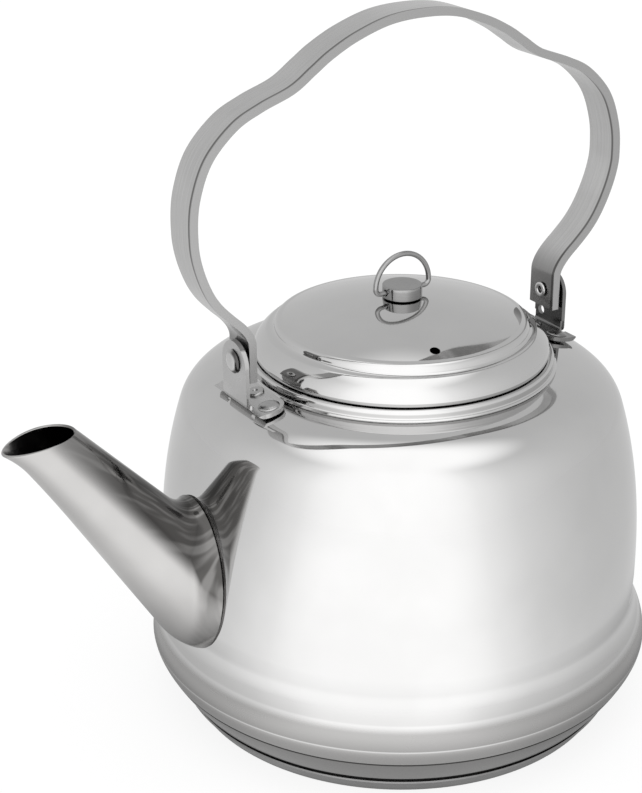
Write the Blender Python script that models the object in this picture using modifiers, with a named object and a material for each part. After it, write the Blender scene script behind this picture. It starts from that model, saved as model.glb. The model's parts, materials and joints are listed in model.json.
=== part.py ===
# Stainless steel tea kettle with a swinging strap handle and a lift-off lid.
# Metres, +Z up. The origin is the centre of the flat base, the spout points to -X
# and the handle stands in the XZ plane. Heights are above the table.

import math

import bmesh
import bpy
from mathutils import Matrix, Vector

mm = 0.001
full_turn = 2 * math.pi
quarter_turn = math.pi / 2

# Fits
seat_gap = 0.3 * mm          # one piece resting on another
bore_gap = 0.3 * mm          # round a shank or a wire in its hole
lid_gap = 0.9 * mm           # round the lid's skirt in the collar
cut_over = 2 * mm            # how far a cutter stands past what it cuts

# Roundness of the turned pieces
body_steps = 48
lid_steps = 40
small_steps = 16

# Heat-spreading disc under the pot
base_height = 8.2 * mm
base_step = 0.8 * mm         # how far it stays inside the pot's foot
base_flare = 3.8 * mm        # how far its side leans out towards the top
base_edge = 0.9 * mm

# Pot, outer side of the sheet. Rises are above its bottom, draws are inward.
body_wall = 0.9 * mm
bead_radius = 98.8 * mm
bead_rise = 18.5 * mm
bead_under_rise = 13.5 * mm  # where the bead's underside turns in
foot_draw = 9.8 * mm         # from the bead to the pot's foot
bead_shoulder_draw = 1.2 * mm
bead_shoulder_rise = 26.7 * mm
waist_draw = 5.7 * mm        # from the bead to the waist
waist_rise = 34.5 * mm
belly_swell = 0.4 * mm       # from the waist outward
belly_rise = 45.5 * mm
wall_draw = 8.9 * mm         # from the belly to the top of the wall
wall_rise = 68.0 * mm        # the same stretch upward
wall_power = 2.4             # how late the wall draws in towards the shoulder
shoulder_rise = 15.2 * mm    # of the dome, from the top of the wall to the collar
shoulder_fall = 0.07         # slope of the dome at the collar
shoulder_steps = 7

# Brackets on the shoulder
bracket_wall = 1.6 * mm
bracket_draw = 12.7 * mm     # from the top of the wall in to the ear's outer face
bracket_depth = 12.6 * mm    # from the foot's inner edge to the ear's outer face
bracket_bend = 1.2 * mm
bracket_clear = 0.6 * mm     # between the foot and the collar's flange
foot_half_width = 17.6 * mm
foot_corner = 5.6 * mm
pivot_rise = 15.6 * mm       # above the shoulder's top
ear_half_width = 8.5 * mm
ear_top_drop = 1.0 * mm      # centre of the ear's round top below the pivot
relief_radius = 1.2 * mm
ear_hole_radius = 1.85 * mm
ear_hole_side = 4.6 * mm
ear_hole_rise = 4.8 * mm     # above the shoulder's top

# Collar pressed into the mouth
collar_wall = 0.9 * mm
collar_band_height = 4.3 * mm
collar_flange = 1.1 * mm
collar_shoulder = 3.6 * mm   # from the pot's mouth out to the band
collar_play = 0.6 * mm       # between the collar's throat and the pot's mouth
collar_edge = 1.1 * mm
collar_curl = 2.0 * mm       # how far it turns out under the shoulder

# Lid
lid_wall = 0.8 * mm
lid_inset = 1.7 * mm         # from the collar's band in to the lid's rim
lid_rim_height = 1.3 * mm
lid_slope = 5.0 * mm         # from the rim in to the ridge
lid_ridge_rise = 9.0 * mm
lid_groove_draw = 2.9 * mm   # from the ridge in to the groove
lid_groove_rise = 10.3 * mm
lid_bead_draw = 2.8 * mm     # from the groove in to the bead
lid_bead_rise = 13.0 * mm
lid_crown_rise = 20.9 * mm   # top of the dome above the lid's rim
vent_radius = 1.9 * mm
vent_inset = 5.2 * mm        # from the bead in to the vent hole
vent_turn = math.radians(-106.7)
skirt_wall = 0.8 * mm
skirt_depth = 8.6 * mm       # below the lid's rim
skirt_flange = 3.8 * mm

# Knob and what holds it
knob_radius = 7.5 * mm
knob_height = 4.6 * mm
knob_edge = 0.8 * mm
screw_radius = 2.1 * mm
screw_depth = 3.1 * mm       # of the shank inside the knob
screw_head_radius = 4.0 * mm
screw_head_height = 1.5 * mm
washer_radius = 7.0 * mm
washer_wall = 0.8 * mm

# Ring pull
ring_wire = 2.0 * mm
ring_radius = 11.8 * mm      # centre line of the arch
ring_bend = 2.1 * mm
ring_axis_rise = 2.3 * mm    # above the knob's seat
ring_end = 3.8 * mm          # where the wire's ends stop, from the middle

# Spout: a cone that comes down to the wall
spout_wall = 1.0 * mm
spout_slope = math.radians(52.6)
spout_stand_out = 44.8 * mm  # top of its axis, outward from the belly
spout_axis_rise = 121.3 * mm
spout_axis_radius = 10.5 * mm
spout_taper = 0.109
spout_mouth_rise = 11.7 * mm # above the top of its axis
spout_lip = 3.6 * mm
spout_lip_length = 12.0 * mm
spout_squeeze = 0.11         # share of its width that the mouth loses
spout_squeeze_length = 40.0 * mm
spout_root_half_width = 22.9 * mm
spout_root_height = 60.2 * mm
spout_root_lift = 0.3 * mm   # of the root's lowest edge above the waist
spout_blend = 13.0 * mm
spout_heel_stand_off = 3.4 * mm
spout_brow_stand_off = 1.8 * mm
spout_bite = 1.6 * mm        # length of the root that is trimmed to the wall
spout_columns = 36
spout_straight_rows = 3
spout_root_rows = 4

# Strainer holes in the wall behind the spout
strainer_hole_radius = 2.5 * mm
strainer_pitch = 8.4 * mm
strainer_rise = 26.7 * mm    # above the root's lowest edge
strainer_rows = (2, 3, 4, 3, 2)
strainer_sides = 10

# Handle strap. Rises are above the pivot, outs are from the face of its lower end.
strap_wall = 3.0 * mm
strap_width = 14.5 * mm
strap_edge = 0.6 * mm
strap_play = 0.9 * mm        # between the strap and the ear
strap_foot = 6.8 * mm        # end of the strap below its pivot
strap_straight = 6.7 * mm    # straight stretch above the pivot
strap_knee_corner_rise = 10.8 * mm
strap_knee_out = 7.1 * mm
strap_knee_rise = 16.6 * mm
strap_hip_out = 17.5 * mm
strap_hip_rise = 27.8 * mm
strap_side_out = 24.0 * mm
strap_side_rise = 49.7 * mm
strap_corner_out = 10.9 * mm
strap_corner_rise = 84.3 * mm
strap_dip_radius = 54.5 * mm # from the middle of the kettle, as is the next
strap_dip_rise = 97.4 * mm
strap_brow_radius = 36.0 * mm
strap_brow_rise = 108.8 * mm
strap_top_rise = 117.2 * mm
strap_steps = 3

# Pivot rivets, one in each ear
pivot_shank_radius = 2.2 * mm
pivot_head_radius = 4.6 * mm
pivot_head_height = 1.3 * mm
pivot_roll_radius = 3.4 * mm
pivot_roll_height = 1.3 * mm
pivot_bore_radius = 1.3 * mm
pivot_bore_depth = 3.2 * mm

# Rivets and studs of the bracket feet. Shifts are from the middle of the foot's flat part.
foot_rivet_shift = 0.5 * mm
foot_rivet_side = 12.4 * mm
foot_rivet_radius = 2.0 * mm
foot_rivet_head_radius = 4.0 * mm
foot_rivet_head_height = 1.7 * mm
foot_rivet_tail_radius = 3.2 * mm
foot_rivet_tail_height = 1.0 * mm
foot_tail_gap = 0.5 * mm     # from the shoulder's inner side to a tail
stud_shift = -1.2 * mm
stud_radius = 1.6 * mm
stud_head_radius = 3.2 * mm
stud_head_height = 0.9 * mm
stud_tail_radius = 2.5 * mm
stud_dimple_radius = 1.0 * mm
stud_dimple_depth = 0.7 * mm

# Heights above the table that follow from the sizes above
body_bottom = base_height + seat_gap
bead_under = body_bottom + bead_under_rise
bead_height = body_bottom + bead_rise
bead_shoulder_height = body_bottom + bead_shoulder_rise
waist_height = body_bottom + waist_rise
belly_height = body_bottom + belly_rise
wall_top_height = belly_height + wall_rise
shoulder_top = wall_top_height + shoulder_rise
pivot_height = shoulder_top + pivot_rise
ear_hole_height = shoulder_top + ear_hole_rise
collar_seat = shoulder_top + shoulder_fall * collar_flange + seat_gap
collar_top = collar_seat + collar_band_height
lid_seat = collar_top + seat_gap
lid_crown = lid_seat + lid_crown_rise
knob_seat = lid_crown + seat_gap
knob_top = knob_seat + knob_height
ring_axis_height = knob_seat + ring_axis_rise
spout_root_low = waist_height + spout_root_lift
spout_root_top = spout_root_low + spout_root_height
spout_axis_height = body_bottom + spout_axis_rise
spout_mouth_height = spout_axis_height + spout_mouth_rise
strainer_height = spout_root_low + strainer_rise

# Radii that follow, from the pot's bead inward
body_foot_radius = bead_radius - foot_draw
base_top_radius = body_foot_radius - base_step
base_foot_radius = base_top_radius - base_flare
bead_shoulder_radius = bead_radius - bead_shoulder_draw
waist_radius = bead_radius - waist_draw
belly_radius = waist_radius + belly_swell
wall_top_radius = belly_radius - wall_draw
bracket_out = wall_top_radius - bracket_draw
bracket_in = bracket_out - bracket_depth
ear_inner = bracket_out - bracket_wall
strap_out = ear_inner - strap_play
foot_middle = (bracket_in + ear_inner - bracket_bend) / 2
shoulder_radius = bracket_in - bracket_clear
collar_band_radius = shoulder_radius - collar_flange
mouth_radius = collar_band_radius - collar_shoulder
collar_throat_radius = mouth_radius - collar_play
lid_radius = collar_band_radius - lid_inset
lid_ridge_radius = lid_radius - lid_slope
lid_groove_radius = lid_ridge_radius - lid_groove_draw
lid_bead_radius = lid_groove_radius - lid_bead_draw
vent_offset = lid_bead_radius - vent_inset
skirt_radius = collar_throat_radius - collar_wall - lid_gap
spout_axis_out = belly_radius + spout_stand_out


def steel(name, tone, roughness, warmth=0.0):
    """Material of one piece: a grey tone, a roughness and a slight warm cast."""
    material = bpy.data.materials.new(name)
    material.use_nodes = True
    shader = material.node_tree.nodes["Principled BSDF"]
    colour = (tone + warmth, tone, tone - warmth, 1)
    shader.inputs["Base Color"].default_value = colour
    shader.inputs["Roughness"].default_value = roughness
    shader.inputs["Metallic"].default_value = 1
    material.diffuse_color = colour
    return material


def clear_scene():
    for item in list(bpy.data.objects):
        bpy.data.objects.remove(item, do_unlink=True)


def new_collection(name):
    collection = bpy.data.collections.new(name)
    bpy.context.scene.collection.children.link(collection)
    return collection


def add_object(name, data, collection, material=None):
    item = bpy.data.objects.new(name, data)
    collection.objects.link(item)
    if material:
        data.materials.append(material)
    return item


def add_cutter(name, data):
    item = add_object(name, data, cutters)
    item.hide_render = True
    item.display_type = "WIRE"
    return item


def mesh_from(bm, name):
    bmesh.ops.recalc_face_normals(bm, faces=bm.faces)
    mesh = bpy.data.meshes.new(name)
    bm.to_mesh(mesh)
    bm.free()
    return mesh


def smooth(item):
    item.data.shade_smooth()
    item.data.set_sharp_from_angle(angle=math.radians(35))


def bend(start, corner, end, steps):
    """Points after start on the curve that leaves it towards corner and ends at end."""
    points = []
    for step in range(1, steps + 1):
        u = step / steps
        point = [(1 - u) ** 2 * a + 2 * u * (1 - u) * b + u * u * c
                 for a, b, c in zip(start, corner, end)]
        points.append(tuple(point))
    return points


def spline(points, steps, towards, beyond):
    """Smooth curve through all the points, led in from one point and out to another."""
    ends = [towards] + list(points) + [beyond]
    curve = [tuple(points[0])]
    for index in range(1, len(ends) - 2):
        before, start, end, after = (Vector(p) for p in ends[index - 1:index + 3])
        for step in range(1, steps + 1):
            u = step / steps
            lead = (end - before) / 2 * u * (1 - u) ** 2
            trail = (after - start) / 2 * u * u * (1 - u)
            point = start * (1 + 2 * u) * (1 - u) ** 2 + end * u * u * (3 - 2 * u) + lead - trail
            curve.append(tuple(point))
    return curve


def turned(name, profile, steps, closed=False):
    """Mesh object with a profile of (radius, height) points and a Screw modifier."""
    mesh = bpy.data.meshes.new(name)
    verts = [(radius, 0, height) for radius, height in profile]
    edges = [(i, i + 1) for i in range(len(verts) - 1)]
    if closed:
        edges.append((len(verts) - 1, 0))
    mesh.from_pydata(verts, edges, [])
    item = bpy.data.objects.new(name, mesh)
    screw = item.modifiers.new("turn", "SCREW")
    screw.axis = "Z"
    screw.angle = full_turn
    screw.steps = steps
    screw.render_steps = steps
    screw.use_merge_vertices = True
    screw.merge_threshold = 0.00001
    screw.use_smooth_shade = True
    return item


def turned_piece(name, profile, steps, material, closed=False):
    item = turned(name, profile, steps, closed)
    parts.objects.link(item)
    item.data.materials.append(material)
    return item


def thicken(item, wall, offset=-1):
    solid = item.modifiers.new("wall", "SOLIDIFY")
    solid.thickness = wall
    solid.offset = offset
    solid.use_even_offset = True
    return item


def cut(item, cutter, operation="DIFFERENCE"):
    modifier = item.modifiers.new("cut", "BOOLEAN")
    modifier.operation = operation
    modifier.solver = "EXACT"
    modifier.object = cutter


def rod(bm, radius, length, centre, direction, sides):
    """Adds a closed round rod to the mesh, centred on a point and laid along a direction."""
    turn = Vector((0, 0, 1)).rotation_difference(Vector(direction)).to_matrix().to_4x4()
    place = Matrix.Translation(centre) @ turn
    bmesh.ops.create_cone(bm, cap_ends=True, segments=sides, radius1=radius, radius2=radius,
                          depth=length, matrix=place)


def rod_cutter(name, rods, sides):
    """One cutter of several rods, each given as (radius, length, centre, direction)."""
    bm = bmesh.new()
    for radius, length, centre, direction in rods:
        rod(bm, radius, length, centre, direction, sides)
    return add_cutter(name, mesh_from(bm, name))


def prism_cutter(name, outline, low, high):
    """Cutter with a flat outline of 3D points, pushed from one offset to another."""
    bm = bmesh.new()
    face = bm.faces.new([bm.verts.new(Vector(point) + Vector(low)) for point in outline])
    grown = bmesh.ops.extrude_face_region(bm, geom=[face])
    tops = [v for v in grown["geom"] if isinstance(v, bmesh.types.BMVert)]
    bmesh.ops.translate(bm, vec=Vector(high) - Vector(low), verts=tops)
    return add_cutter(name, mesh_from(bm, name))


def arc(centre, radius, start, end, steps):
    """Points on a round stretch, angles in radians from the first axis."""
    angles = [start + (end - start) * step / steps for step in range(steps + 1)]
    return [(centre[0] + radius * math.cos(a), centre[1] + radius * math.sin(a)) for a in angles]


def shoulder_profile(steps):
    """Outer side of the shoulder from the mouth out to the top of the wall."""
    mouth = (mouth_radius, shoulder_top + shoulder_fall * (shoulder_radius - mouth_radius))
    lean = wall_power * wall_draw / wall_rise
    run = wall_top_radius + lean * wall_top_height - shoulder_radius
    height = (shoulder_top - shoulder_fall * run) / (1 - shoulder_fall * lean)
    corner = (wall_top_radius - lean * (height - wall_top_height), height)
    top = (shoulder_radius, shoulder_top)
    return [mouth, top] + bend(top, corner, (wall_top_radius, wall_top_height), steps)


def shoulder_height(radius):
    """Height of the shoulder's outer side at a distance from the middle."""
    profile = shoulder_profile(shoulder_steps)
    for (inner_radius, inner), (outer_radius, outer) in zip(profile, profile[1:]):
        if radius <= outer_radius:
            break
    return inner + (outer - inner) * (radius - inner_radius) / (outer_radius - inner_radius)


def foot_point(shift, lift=0):
    """Point of the +X foot, from its middle: outward along its underside and off it."""
    across = Vector((math.cos(foot_tilt), 0, -math.sin(foot_tilt)))
    off = Vector((math.sin(foot_tilt), 0, math.cos(foot_tilt)))
    return Vector((foot_middle, 0, foot_seat)) + across * shift + off * lift


def body_profile():
    """Outer side of the pot from the mouth down to the middle of the bottom."""
    points = shoulder_profile(shoulder_steps)
    for share in (0.75, 0.45, 0.0):
        points.append((belly_radius - wall_draw * share ** wall_power, belly_height + wall_rise * share))
    points.append((waist_radius, waist_height))
    points += bend(points[-1], (bead_shoulder_radius, bead_shoulder_height), (bead_radius, bead_height), 4)
    points += bend(points[-1], (bead_radius, bead_under), (body_foot_radius, body_bottom), 3)
    points.append((0, body_bottom))
    return points


def wall_radius(height):
    """Outer radius of the pot at a height."""
    profile = body_profile()
    for (upper_radius, upper), (lower_radius, lower) in zip(profile, profile[1:]):
        if lower <= height <= upper and upper > lower:
            share = (height - lower) / (upper - lower)
            return lower_radius + (upper_radius - lower_radius) * share
    return mouth_radius


def make_base():
    profile = [(0, base_height), (base_top_radius - base_edge / 2, base_height),
               (base_top_radius, base_height - base_edge / 2),
               (base_foot_radius + base_edge, base_edge), (base_foot_radius, 0), (0, 0)]
    turned_piece("base_disc", profile, body_steps, steel("base_disc", 0.42, 0.34))


def strainer_cutter():
    rods = []
    row_pitch = strainer_pitch * math.sin(math.radians(60))
    for row, count in enumerate(strainer_rows):
        height = strainer_height + (row - (len(strainer_rows) - 1) / 2) * row_pitch
        for column in range(count):
            side = (column - (count - 1) / 2) * strainer_pitch
            centre = (-wall_radius(height), side, height)
            rods.append((strainer_hole_radius, 4 * cut_over, centre, (1, 0, 0)))
    return rod_cutter("strainer_holes", rods, strainer_sides)


def foot_rods():
    """Drillings for the rivets and the stud of the +X foot."""
    off = foot_point(0, 1) - foot_point(0)
    stud = foot_point(stud_shift)
    rivet = foot_point(foot_rivet_shift)
    rods = [(stud_radius + bore_gap, 4 * cut_over, stud, off)]
    rods += [(foot_rivet_radius + bore_gap, 4 * cut_over, (rivet.x, side * foot_rivet_side, rivet.z), off)
             for side in (-1, 1)]
    return rods


def foot_hole_cutter():
    rods = []
    for end in (-1, 1):
        for radius, length, centre, direction in foot_rods():
            turned_centre = (end * centre[0], end * centre[1], centre[2])
            rods.append((radius, length, turned_centre, (end * direction[0], 0, direction[2])))
    return rod_cutter("foot_holes", rods, small_steps)


def make_body(foot_holes):
    body = turned_piece("body_shell", body_profile(), body_steps, steel("body_shell", 0.82, 0.06))
    thicken(body, body_wall)
    cut(body, strainer_cutter())
    cut(body, foot_holes)


def make_collar():
    """Inverted channel: throat, rolled top, band and flange, with a curl under the shoulder."""
    throat = collar_throat_radius
    band = collar_band_radius
    curl_top = shoulder_height(throat + collar_curl) - body_wall - seat_gap
    profile = [(band + collar_flange, collar_seat + collar_wall),
               (band, collar_seat + collar_wall + collar_flange)]
    profile.append((band, collar_top - collar_edge))
    profile += bend(profile[-1], (band, collar_top), (band - collar_edge, collar_top), 2)
    inner = throat - collar_wall
    profile.append((inner + collar_edge, collar_top))
    profile += bend(profile[-1], (inner, collar_top), (inner, collar_top - collar_edge), 2)
    profile.append((inner, curl_top - collar_wall + collar_edge))
    profile.append((inner + collar_edge, curl_top - collar_wall))
    profile.append((inner + collar_wall + collar_curl, curl_top - collar_wall))
    collar = turned_piece("neck_collar", profile[::-1], body_steps, steel("neck_collar", 0.78, 0.08))
    thicken(collar, collar_wall)


def lid_dome(radius):
    """Height of the lid's dome at a distance from its middle."""
    return lid_crown - (lid_crown_rise - lid_bead_rise) * (radius / lid_bead_radius) ** 2


def lid_profile():
    """Outer side of the lid from its middle hole down to the rim."""
    radii = [screw_radius + bore_gap, washer_radius]
    radii += [washer_radius + (lid_bead_radius - washer_radius) * share for share in (0.4, 0.75, 1)]
    profile = [(radius, lid_dome(radius)) for radius in radii]
    groove = (lid_groove_radius, lid_seat + lid_groove_rise)
    profile += bend(profile[-1], (lid_groove_radius, lid_seat + lid_bead_rise), groove, 2)
    ridge = (lid_ridge_radius, lid_seat + lid_ridge_rise)
    profile.append(((groove[0] + ridge[0]) / 2, groove[1] - (groove[1] - ridge[1]) / 4))
    profile.append(ridge)
    profile += bend(ridge, (lid_radius, lid_seat + (lid_rim_height + lid_ridge_rise) / 2),
                    (lid_radius, lid_seat + lid_rim_height), 3)
    profile.append((lid_radius - lid_rim_height / 4, lid_seat))
    return profile


def make_lid():
    lid = turned_piece("lid_shell", lid_profile(), lid_steps, steel("lid_shell", 0.74, 0.07))
    thicken(lid, lid_wall)
    centre = (vent_offset * math.cos(vent_turn), vent_offset * math.sin(vent_turn), lid_crown)
    cut(lid, rod_cutter("vent_hole", [(vent_radius, lid_crown_rise, centre, (0, 0, 1))], small_steps))
    low = lid_seat - skirt_depth
    top = lid_seat + lid_groove_rise - lid_wall - 2 * seat_gap
    profile = [(skirt_radius - skirt_flange, top)]
    profile += bend(profile[-1], (skirt_radius, top), (skirt_radius, top - skirt_flange), 3)
    profile.append((skirt_radius, low))
    skirt = turned_piece("lid_skirt", profile, lid_steps, steel("lid_skirt", 0.6, 0.25))
    thicken(skirt, skirt_wall)
    return [lid, skirt]


def make_knob():
    bore = screw_radius + bore_gap
    bore_top = knob_seat + screw_depth + seat_gap
    profile = [(0, knob_top), (knob_radius - knob_edge, knob_top), (knob_radius, knob_top - knob_edge),
               (knob_radius, knob_seat + knob_edge / 2), (knob_radius - knob_edge / 2, knob_seat),
               (bore, knob_seat), (bore, bore_top), (0, bore_top)]
    knob = turned_piece("lid_knob", profile, 2 * small_steps, steel("lid_knob", 0.6, 0.12))
    wire_hole = ring_wire / 2 + bore_gap
    hole_end = ring_end - bore_gap
    hole_length = knob_radius + cut_over - hole_end
    rods = [(wire_hole, hole_length, (side * (hole_end + hole_length / 2), 0, ring_axis_height), (1, 0, 0))
            for side in (-1, 1)]
    cut(knob, rod_cutter("ring_holes", rods, small_steps))
    washer_top = lid_dome(washer_radius) - lid_wall - seat_gap
    washer_low = washer_top - washer_wall
    head_top = washer_low - seat_gap
    head_low = head_top - screw_head_height
    washer_profile = [(bore, washer_top), (washer_radius, washer_top),
                      (washer_radius, washer_low), (bore, washer_low)]
    washer = turned_piece("knob_washer", washer_profile, small_steps, steel("knob_washer", 0.55, 0.3),
                          closed=True)
    screw_profile = [(0, knob_seat + screw_depth), (screw_radius, knob_seat + screw_depth),
                     (screw_radius, head_top), (screw_head_radius, head_top),
                     (screw_head_radius, head_top - screw_head_height / 2),
                     (screw_head_radius * 0.7, head_low), (0, head_low)]
    screw = turned_piece("knob_screw", screw_profile, small_steps, steel("knob_screw", 0.55, 0.3))
    return [knob, washer, screw]


def make_ring():
    """Wire ring: straight ends in the knob, a small bend and a round arch."""
    foot = ring_axis_height + ring_bend
    half = [(ring_end, ring_axis_height)]
    half += arc((ring_radius - ring_bend, foot), ring_bend, -quarter_turn, 0, 4)
    half += arc((0, foot), ring_radius, 0, quarter_turn, 12)[1:]
    points = half + [(-x, z) for x, z in reversed(half[:-1])]
    curve = bpy.data.curves.new("ring_pull", "CURVE")
    curve.dimensions = "3D"
    curve.bevel_depth = ring_wire / 2
    curve.bevel_resolution = 2
    curve.use_fill_caps = True
    wire = curve.splines.new("POLY")
    wire.points.add(len(points) - 1)
    for target, (x, z) in zip(wire.points, points):
        target.co = (x, 0, z - ring_axis_height, 1)
    ring = add_object("ring_pull", curve, parts, steel("ring_pull", 0.6, 0.15))
    ring.location = (0, 0, ring_axis_height)
    return ring


def spout_point(along, turn):
    """Point of the plain cone: distance down the axis and turn from its upper side."""
    down = Vector((math.cos(spout_slope), 0, -math.sin(spout_slope)))
    up = Vector((math.sin(spout_slope), 0, math.cos(spout_slope)))
    out = up * math.cos(turn) + Vector((0, math.sin(turn), 0))
    radius = spout_axis_radius + spout_taper * along
    return Vector((-spout_axis_out, 0, spout_axis_height)) + down * along + out * radius


def spout_mouth(turn):
    """Distance down the axis at which this side of the cone meets the mouth's level."""
    drop = math.cos(turn) * math.cos(spout_slope)
    level = spout_axis_height + spout_axis_radius * drop - spout_mouth_height
    return level / (math.sin(spout_slope) - spout_taper * drop)


def spout_reach(turn, stand_off):
    """Distance down the axis at which this side is a stand-off away from the wall."""
    near = spout_mouth(turn)
    far = near + 2 * spout_axis_out
    for step in range(40):
        middle = (near + far) / 2
        point = spout_point(middle, turn)
        if math.hypot(point.x, point.y) - wall_radius(point.z) > stand_off and point.z > waist_height:
            near = middle
        else:
            far = middle
    return near


def spout_column(turn):
    """One side of the spout from the lip to just inside the wall."""
    heel = (1 - math.cos(turn)) / 2
    stand_off = spout_brow_stand_off + (spout_heel_stand_off - spout_brow_stand_off) * heel
    first = spout_mouth(turn)
    corner_at = spout_reach(turn, stand_off)
    last = corner_at - spout_blend
    stations = [first + spout_lip_length * share for share in (0, 0.3, 0.6)]
    run = last - first - spout_lip_length
    stations += [first + spout_lip_length + run * step / spout_straight_rows
                 for step in range(spout_straight_rows + 1)]
    column = []
    for along in stations:
        point = spout_point(along, turn)
        from_mouth = along - first
        lip = max(0, 1 - from_mouth / spout_lip_length) ** 2 * max(0, -math.cos(turn)) ** 2
        narrow = max(0, 1 - from_mouth / spout_squeeze_length) ** 2 * spout_squeeze
        column.append(Vector((point.x - spout_lip * lip, point.y * (1 - narrow), point.z)))
    root_middle = (spout_root_top + spout_root_low) / 2
    root_height = root_middle + (spout_root_top - spout_root_low) / 2 * math.cos(turn)
    root_side = spout_root_half_width * math.sin(turn)
    inside = wall_radius(root_height) - spout_bite
    end = Vector((-math.sqrt(inside ** 2 - root_side ** 2), root_side, root_height))
    corner = spout_point(corner_at, turn)
    column += [Vector(point) for point in bend(column[-1], corner, end, spout_root_rows)]
    return column


def make_spout():
    bm = bmesh.new()
    columns = []
    for index in range(spout_columns):
        column = spout_column(full_turn * index / spout_columns)
        columns.append([bm.verts.new(point) for point in column])
    for left, right in zip(columns, columns[1:] + columns[:1]):
        for row in range(len(left) - 1):
            bm.faces.new((left[row], left[row + 1], right[row + 1], right[row]))
    spout = add_object("spout", mesh_from(bm, "spout"), parts, steel("spout", 0.72, 0.08))
    thicken(spout, spout_wall)
    smooth(spout)
    trim = [(radius + seat_gap, height) for radius, height in body_profile()
            if body_bottom < height < shoulder_top]
    ends = [(0, trim[0][1])] + trim + [(0, trim[-1][1])]
    cutter = turned("spout_trim", ends, body_steps)
    cutters.objects.link(cutter)
    cutter.hide_render = True
    cutter.display_type = "WIRE"
    cut(spout, cutter)


def ribbon(name, path, half_width, material):
    """Sheet that follows a path of (x, z) points, as wide as asked along Y."""
    bm = bmesh.new()
    rows = [[bm.verts.new((x, side * half_width, z)) for side in (-1, 1)] for x, z in path]
    for here, there in zip(rows, rows[1:]):
        bm.faces.new((here[0], there[0], there[1], here[1]))
    mesh = bpy.data.meshes.new(name)
    bm.to_mesh(mesh)
    bm.free()
    return add_object(name, mesh, parts, material)


def make_bracket(name, with_hole):
    """Bent lug at +X: a foot on the shoulder, a bend and an ear with a round top."""
    outer_bend = bracket_bend + bracket_wall
    ear_centre = pivot_height - ear_top_drop
    slope = math.tan(foot_tilt)
    start = foot_point((bracket_in - cut_over - foot_middle) / math.cos(foot_tilt))
    bend_x = bracket_out - outer_bend
    bend_z = foot_seat - slope * (bend_x - foot_middle) + outer_bend / math.cos(foot_tilt)
    path = [(start.x, start.z)]
    path += arc((bend_x, bend_z), outer_bend, -quarter_turn - foot_tilt, 0, 6)
    path.append((bracket_out, ear_centre + ear_half_width + cut_over))
    bracket = ribbon(name, path, foot_half_width + cut_over, steel(name, 0.6, 0.2))
    thicken(bracket, bracket_wall, offset=1)
    under = foot_seat - slope * (bracket_out - foot_middle)
    low = under - cut_over
    foot_top = under + bracket_wall / math.cos(foot_tilt)
    side = foot_half_width + 2 * cut_over
    front = [(-side, low), (side, low), (side, foot_top), (ear_half_width, foot_top)]
    front += arc((0, ear_centre), ear_half_width, 0, math.pi, 12)
    front += [(-ear_half_width, foot_top), (-side, foot_top)]
    outline = [(bracket_out, y, z) for y, z in front]
    reach = bracket_depth + 2 * cut_over
    cut(bracket, prism_cutter(name + "_front_outline", outline, (-reach, 0, slope * reach),
                              (cut_over, 0, -slope * cut_over)), "INTERSECT")
    inner_x = bracket_in + foot_corner
    outer_x = bracket_out - foot_corner
    turn_y = foot_half_width - foot_corner
    plan = arc((inner_x, -turn_y), foot_corner, -math.pi, -quarter_turn, 5)
    plan += arc((outer_x, -turn_y), foot_corner, -quarter_turn, 0, 5)
    plan += arc((outer_x, turn_y), foot_corner, 0, quarter_turn, 5)
    plan += arc((inner_x, turn_y), foot_corner, quarter_turn, math.pi, 5)
    widened = [(x + cut_over if x > bracket_out - foot_corner / 2 else x, y, 0) for x, y in plan]
    cut(bracket, prism_cutter(name + "_plan_outline", widened, (0, 0, low),
                              (0, 0, pivot_height + 2 * ear_half_width)), "INTERSECT")
    drill = 4 * cut_over
    rods = [(relief_radius, drill, (bracket_out - outer_bend / 2, end * (ear_half_width + relief_radius / 2),
                                    foot_top), (0, 0, 1)) for end in (-1, 1)]
    rods += foot_rods()
    rods.append((pivot_shank_radius + bore_gap, drill, (bracket_out, 0, pivot_height), (1, 0, 0)))
    if with_hole:
        rods.append((ear_hole_radius, drill, (bracket_out, ear_hole_side, ear_hole_height), (1, 0, 0)))
    cut(bracket, rod_cutter(name + "_holes", rods, small_steps))
    return bracket


def strap_path():
    """Outer face of the strap from one end, over the top, to the other."""
    corner = (strap_out, pivot_height + strap_knee_corner_rise)
    half = [(strap_out, pivot_height - strap_foot), (strap_out, pivot_height + strap_straight)]
    knee = (strap_out + strap_knee_out, pivot_height + strap_knee_rise)
    half += bend(half[-1], corner, knee, 5)
    brow_height = pivot_height + strap_brow_rise
    through = [knee, (strap_out + strap_hip_out, pivot_height + strap_hip_rise),
               (strap_out + strap_side_out, pivot_height + strap_side_rise),
               (strap_out + strap_corner_out, pivot_height + strap_corner_rise),
               (strap_dip_radius, pivot_height + strap_dip_rise), (strap_brow_radius, brow_height),
               (0, pivot_height + strap_top_rise)]
    half += spline(through, strap_steps, corner, (-strap_brow_radius, brow_height))[1:]
    return half + [(-x, z) for x, z in reversed(half[:-1])]


def make_strap():
    local = [(x, z - pivot_height) for x, z in strap_path()]
    strap = ribbon("handle_strap", local, strap_width / 2, steel("handle_strap", 0.6, 0.22))
    thicken(strap, strap_wall, offset=1)
    rounding = strap.modifiers.new("edges", "BEVEL")
    rounding.width = strap_edge
    rounding.segments = 1
    rounding.limit_method = "ANGLE"
    rounding.angle_limit = math.radians(60)
    strap.location = (0, 0, pivot_height)
    drill = strap_wall + 2 * cut_over
    rods = [(pivot_shank_radius + bore_gap, drill, (end * (strap_out - strap_wall / 2), 0, pivot_height),
             (1, 0, 0)) for end in (-1, 1)]
    cut(strap, rod_cutter("strap_holes", rods, small_steps))
    return strap


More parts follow.
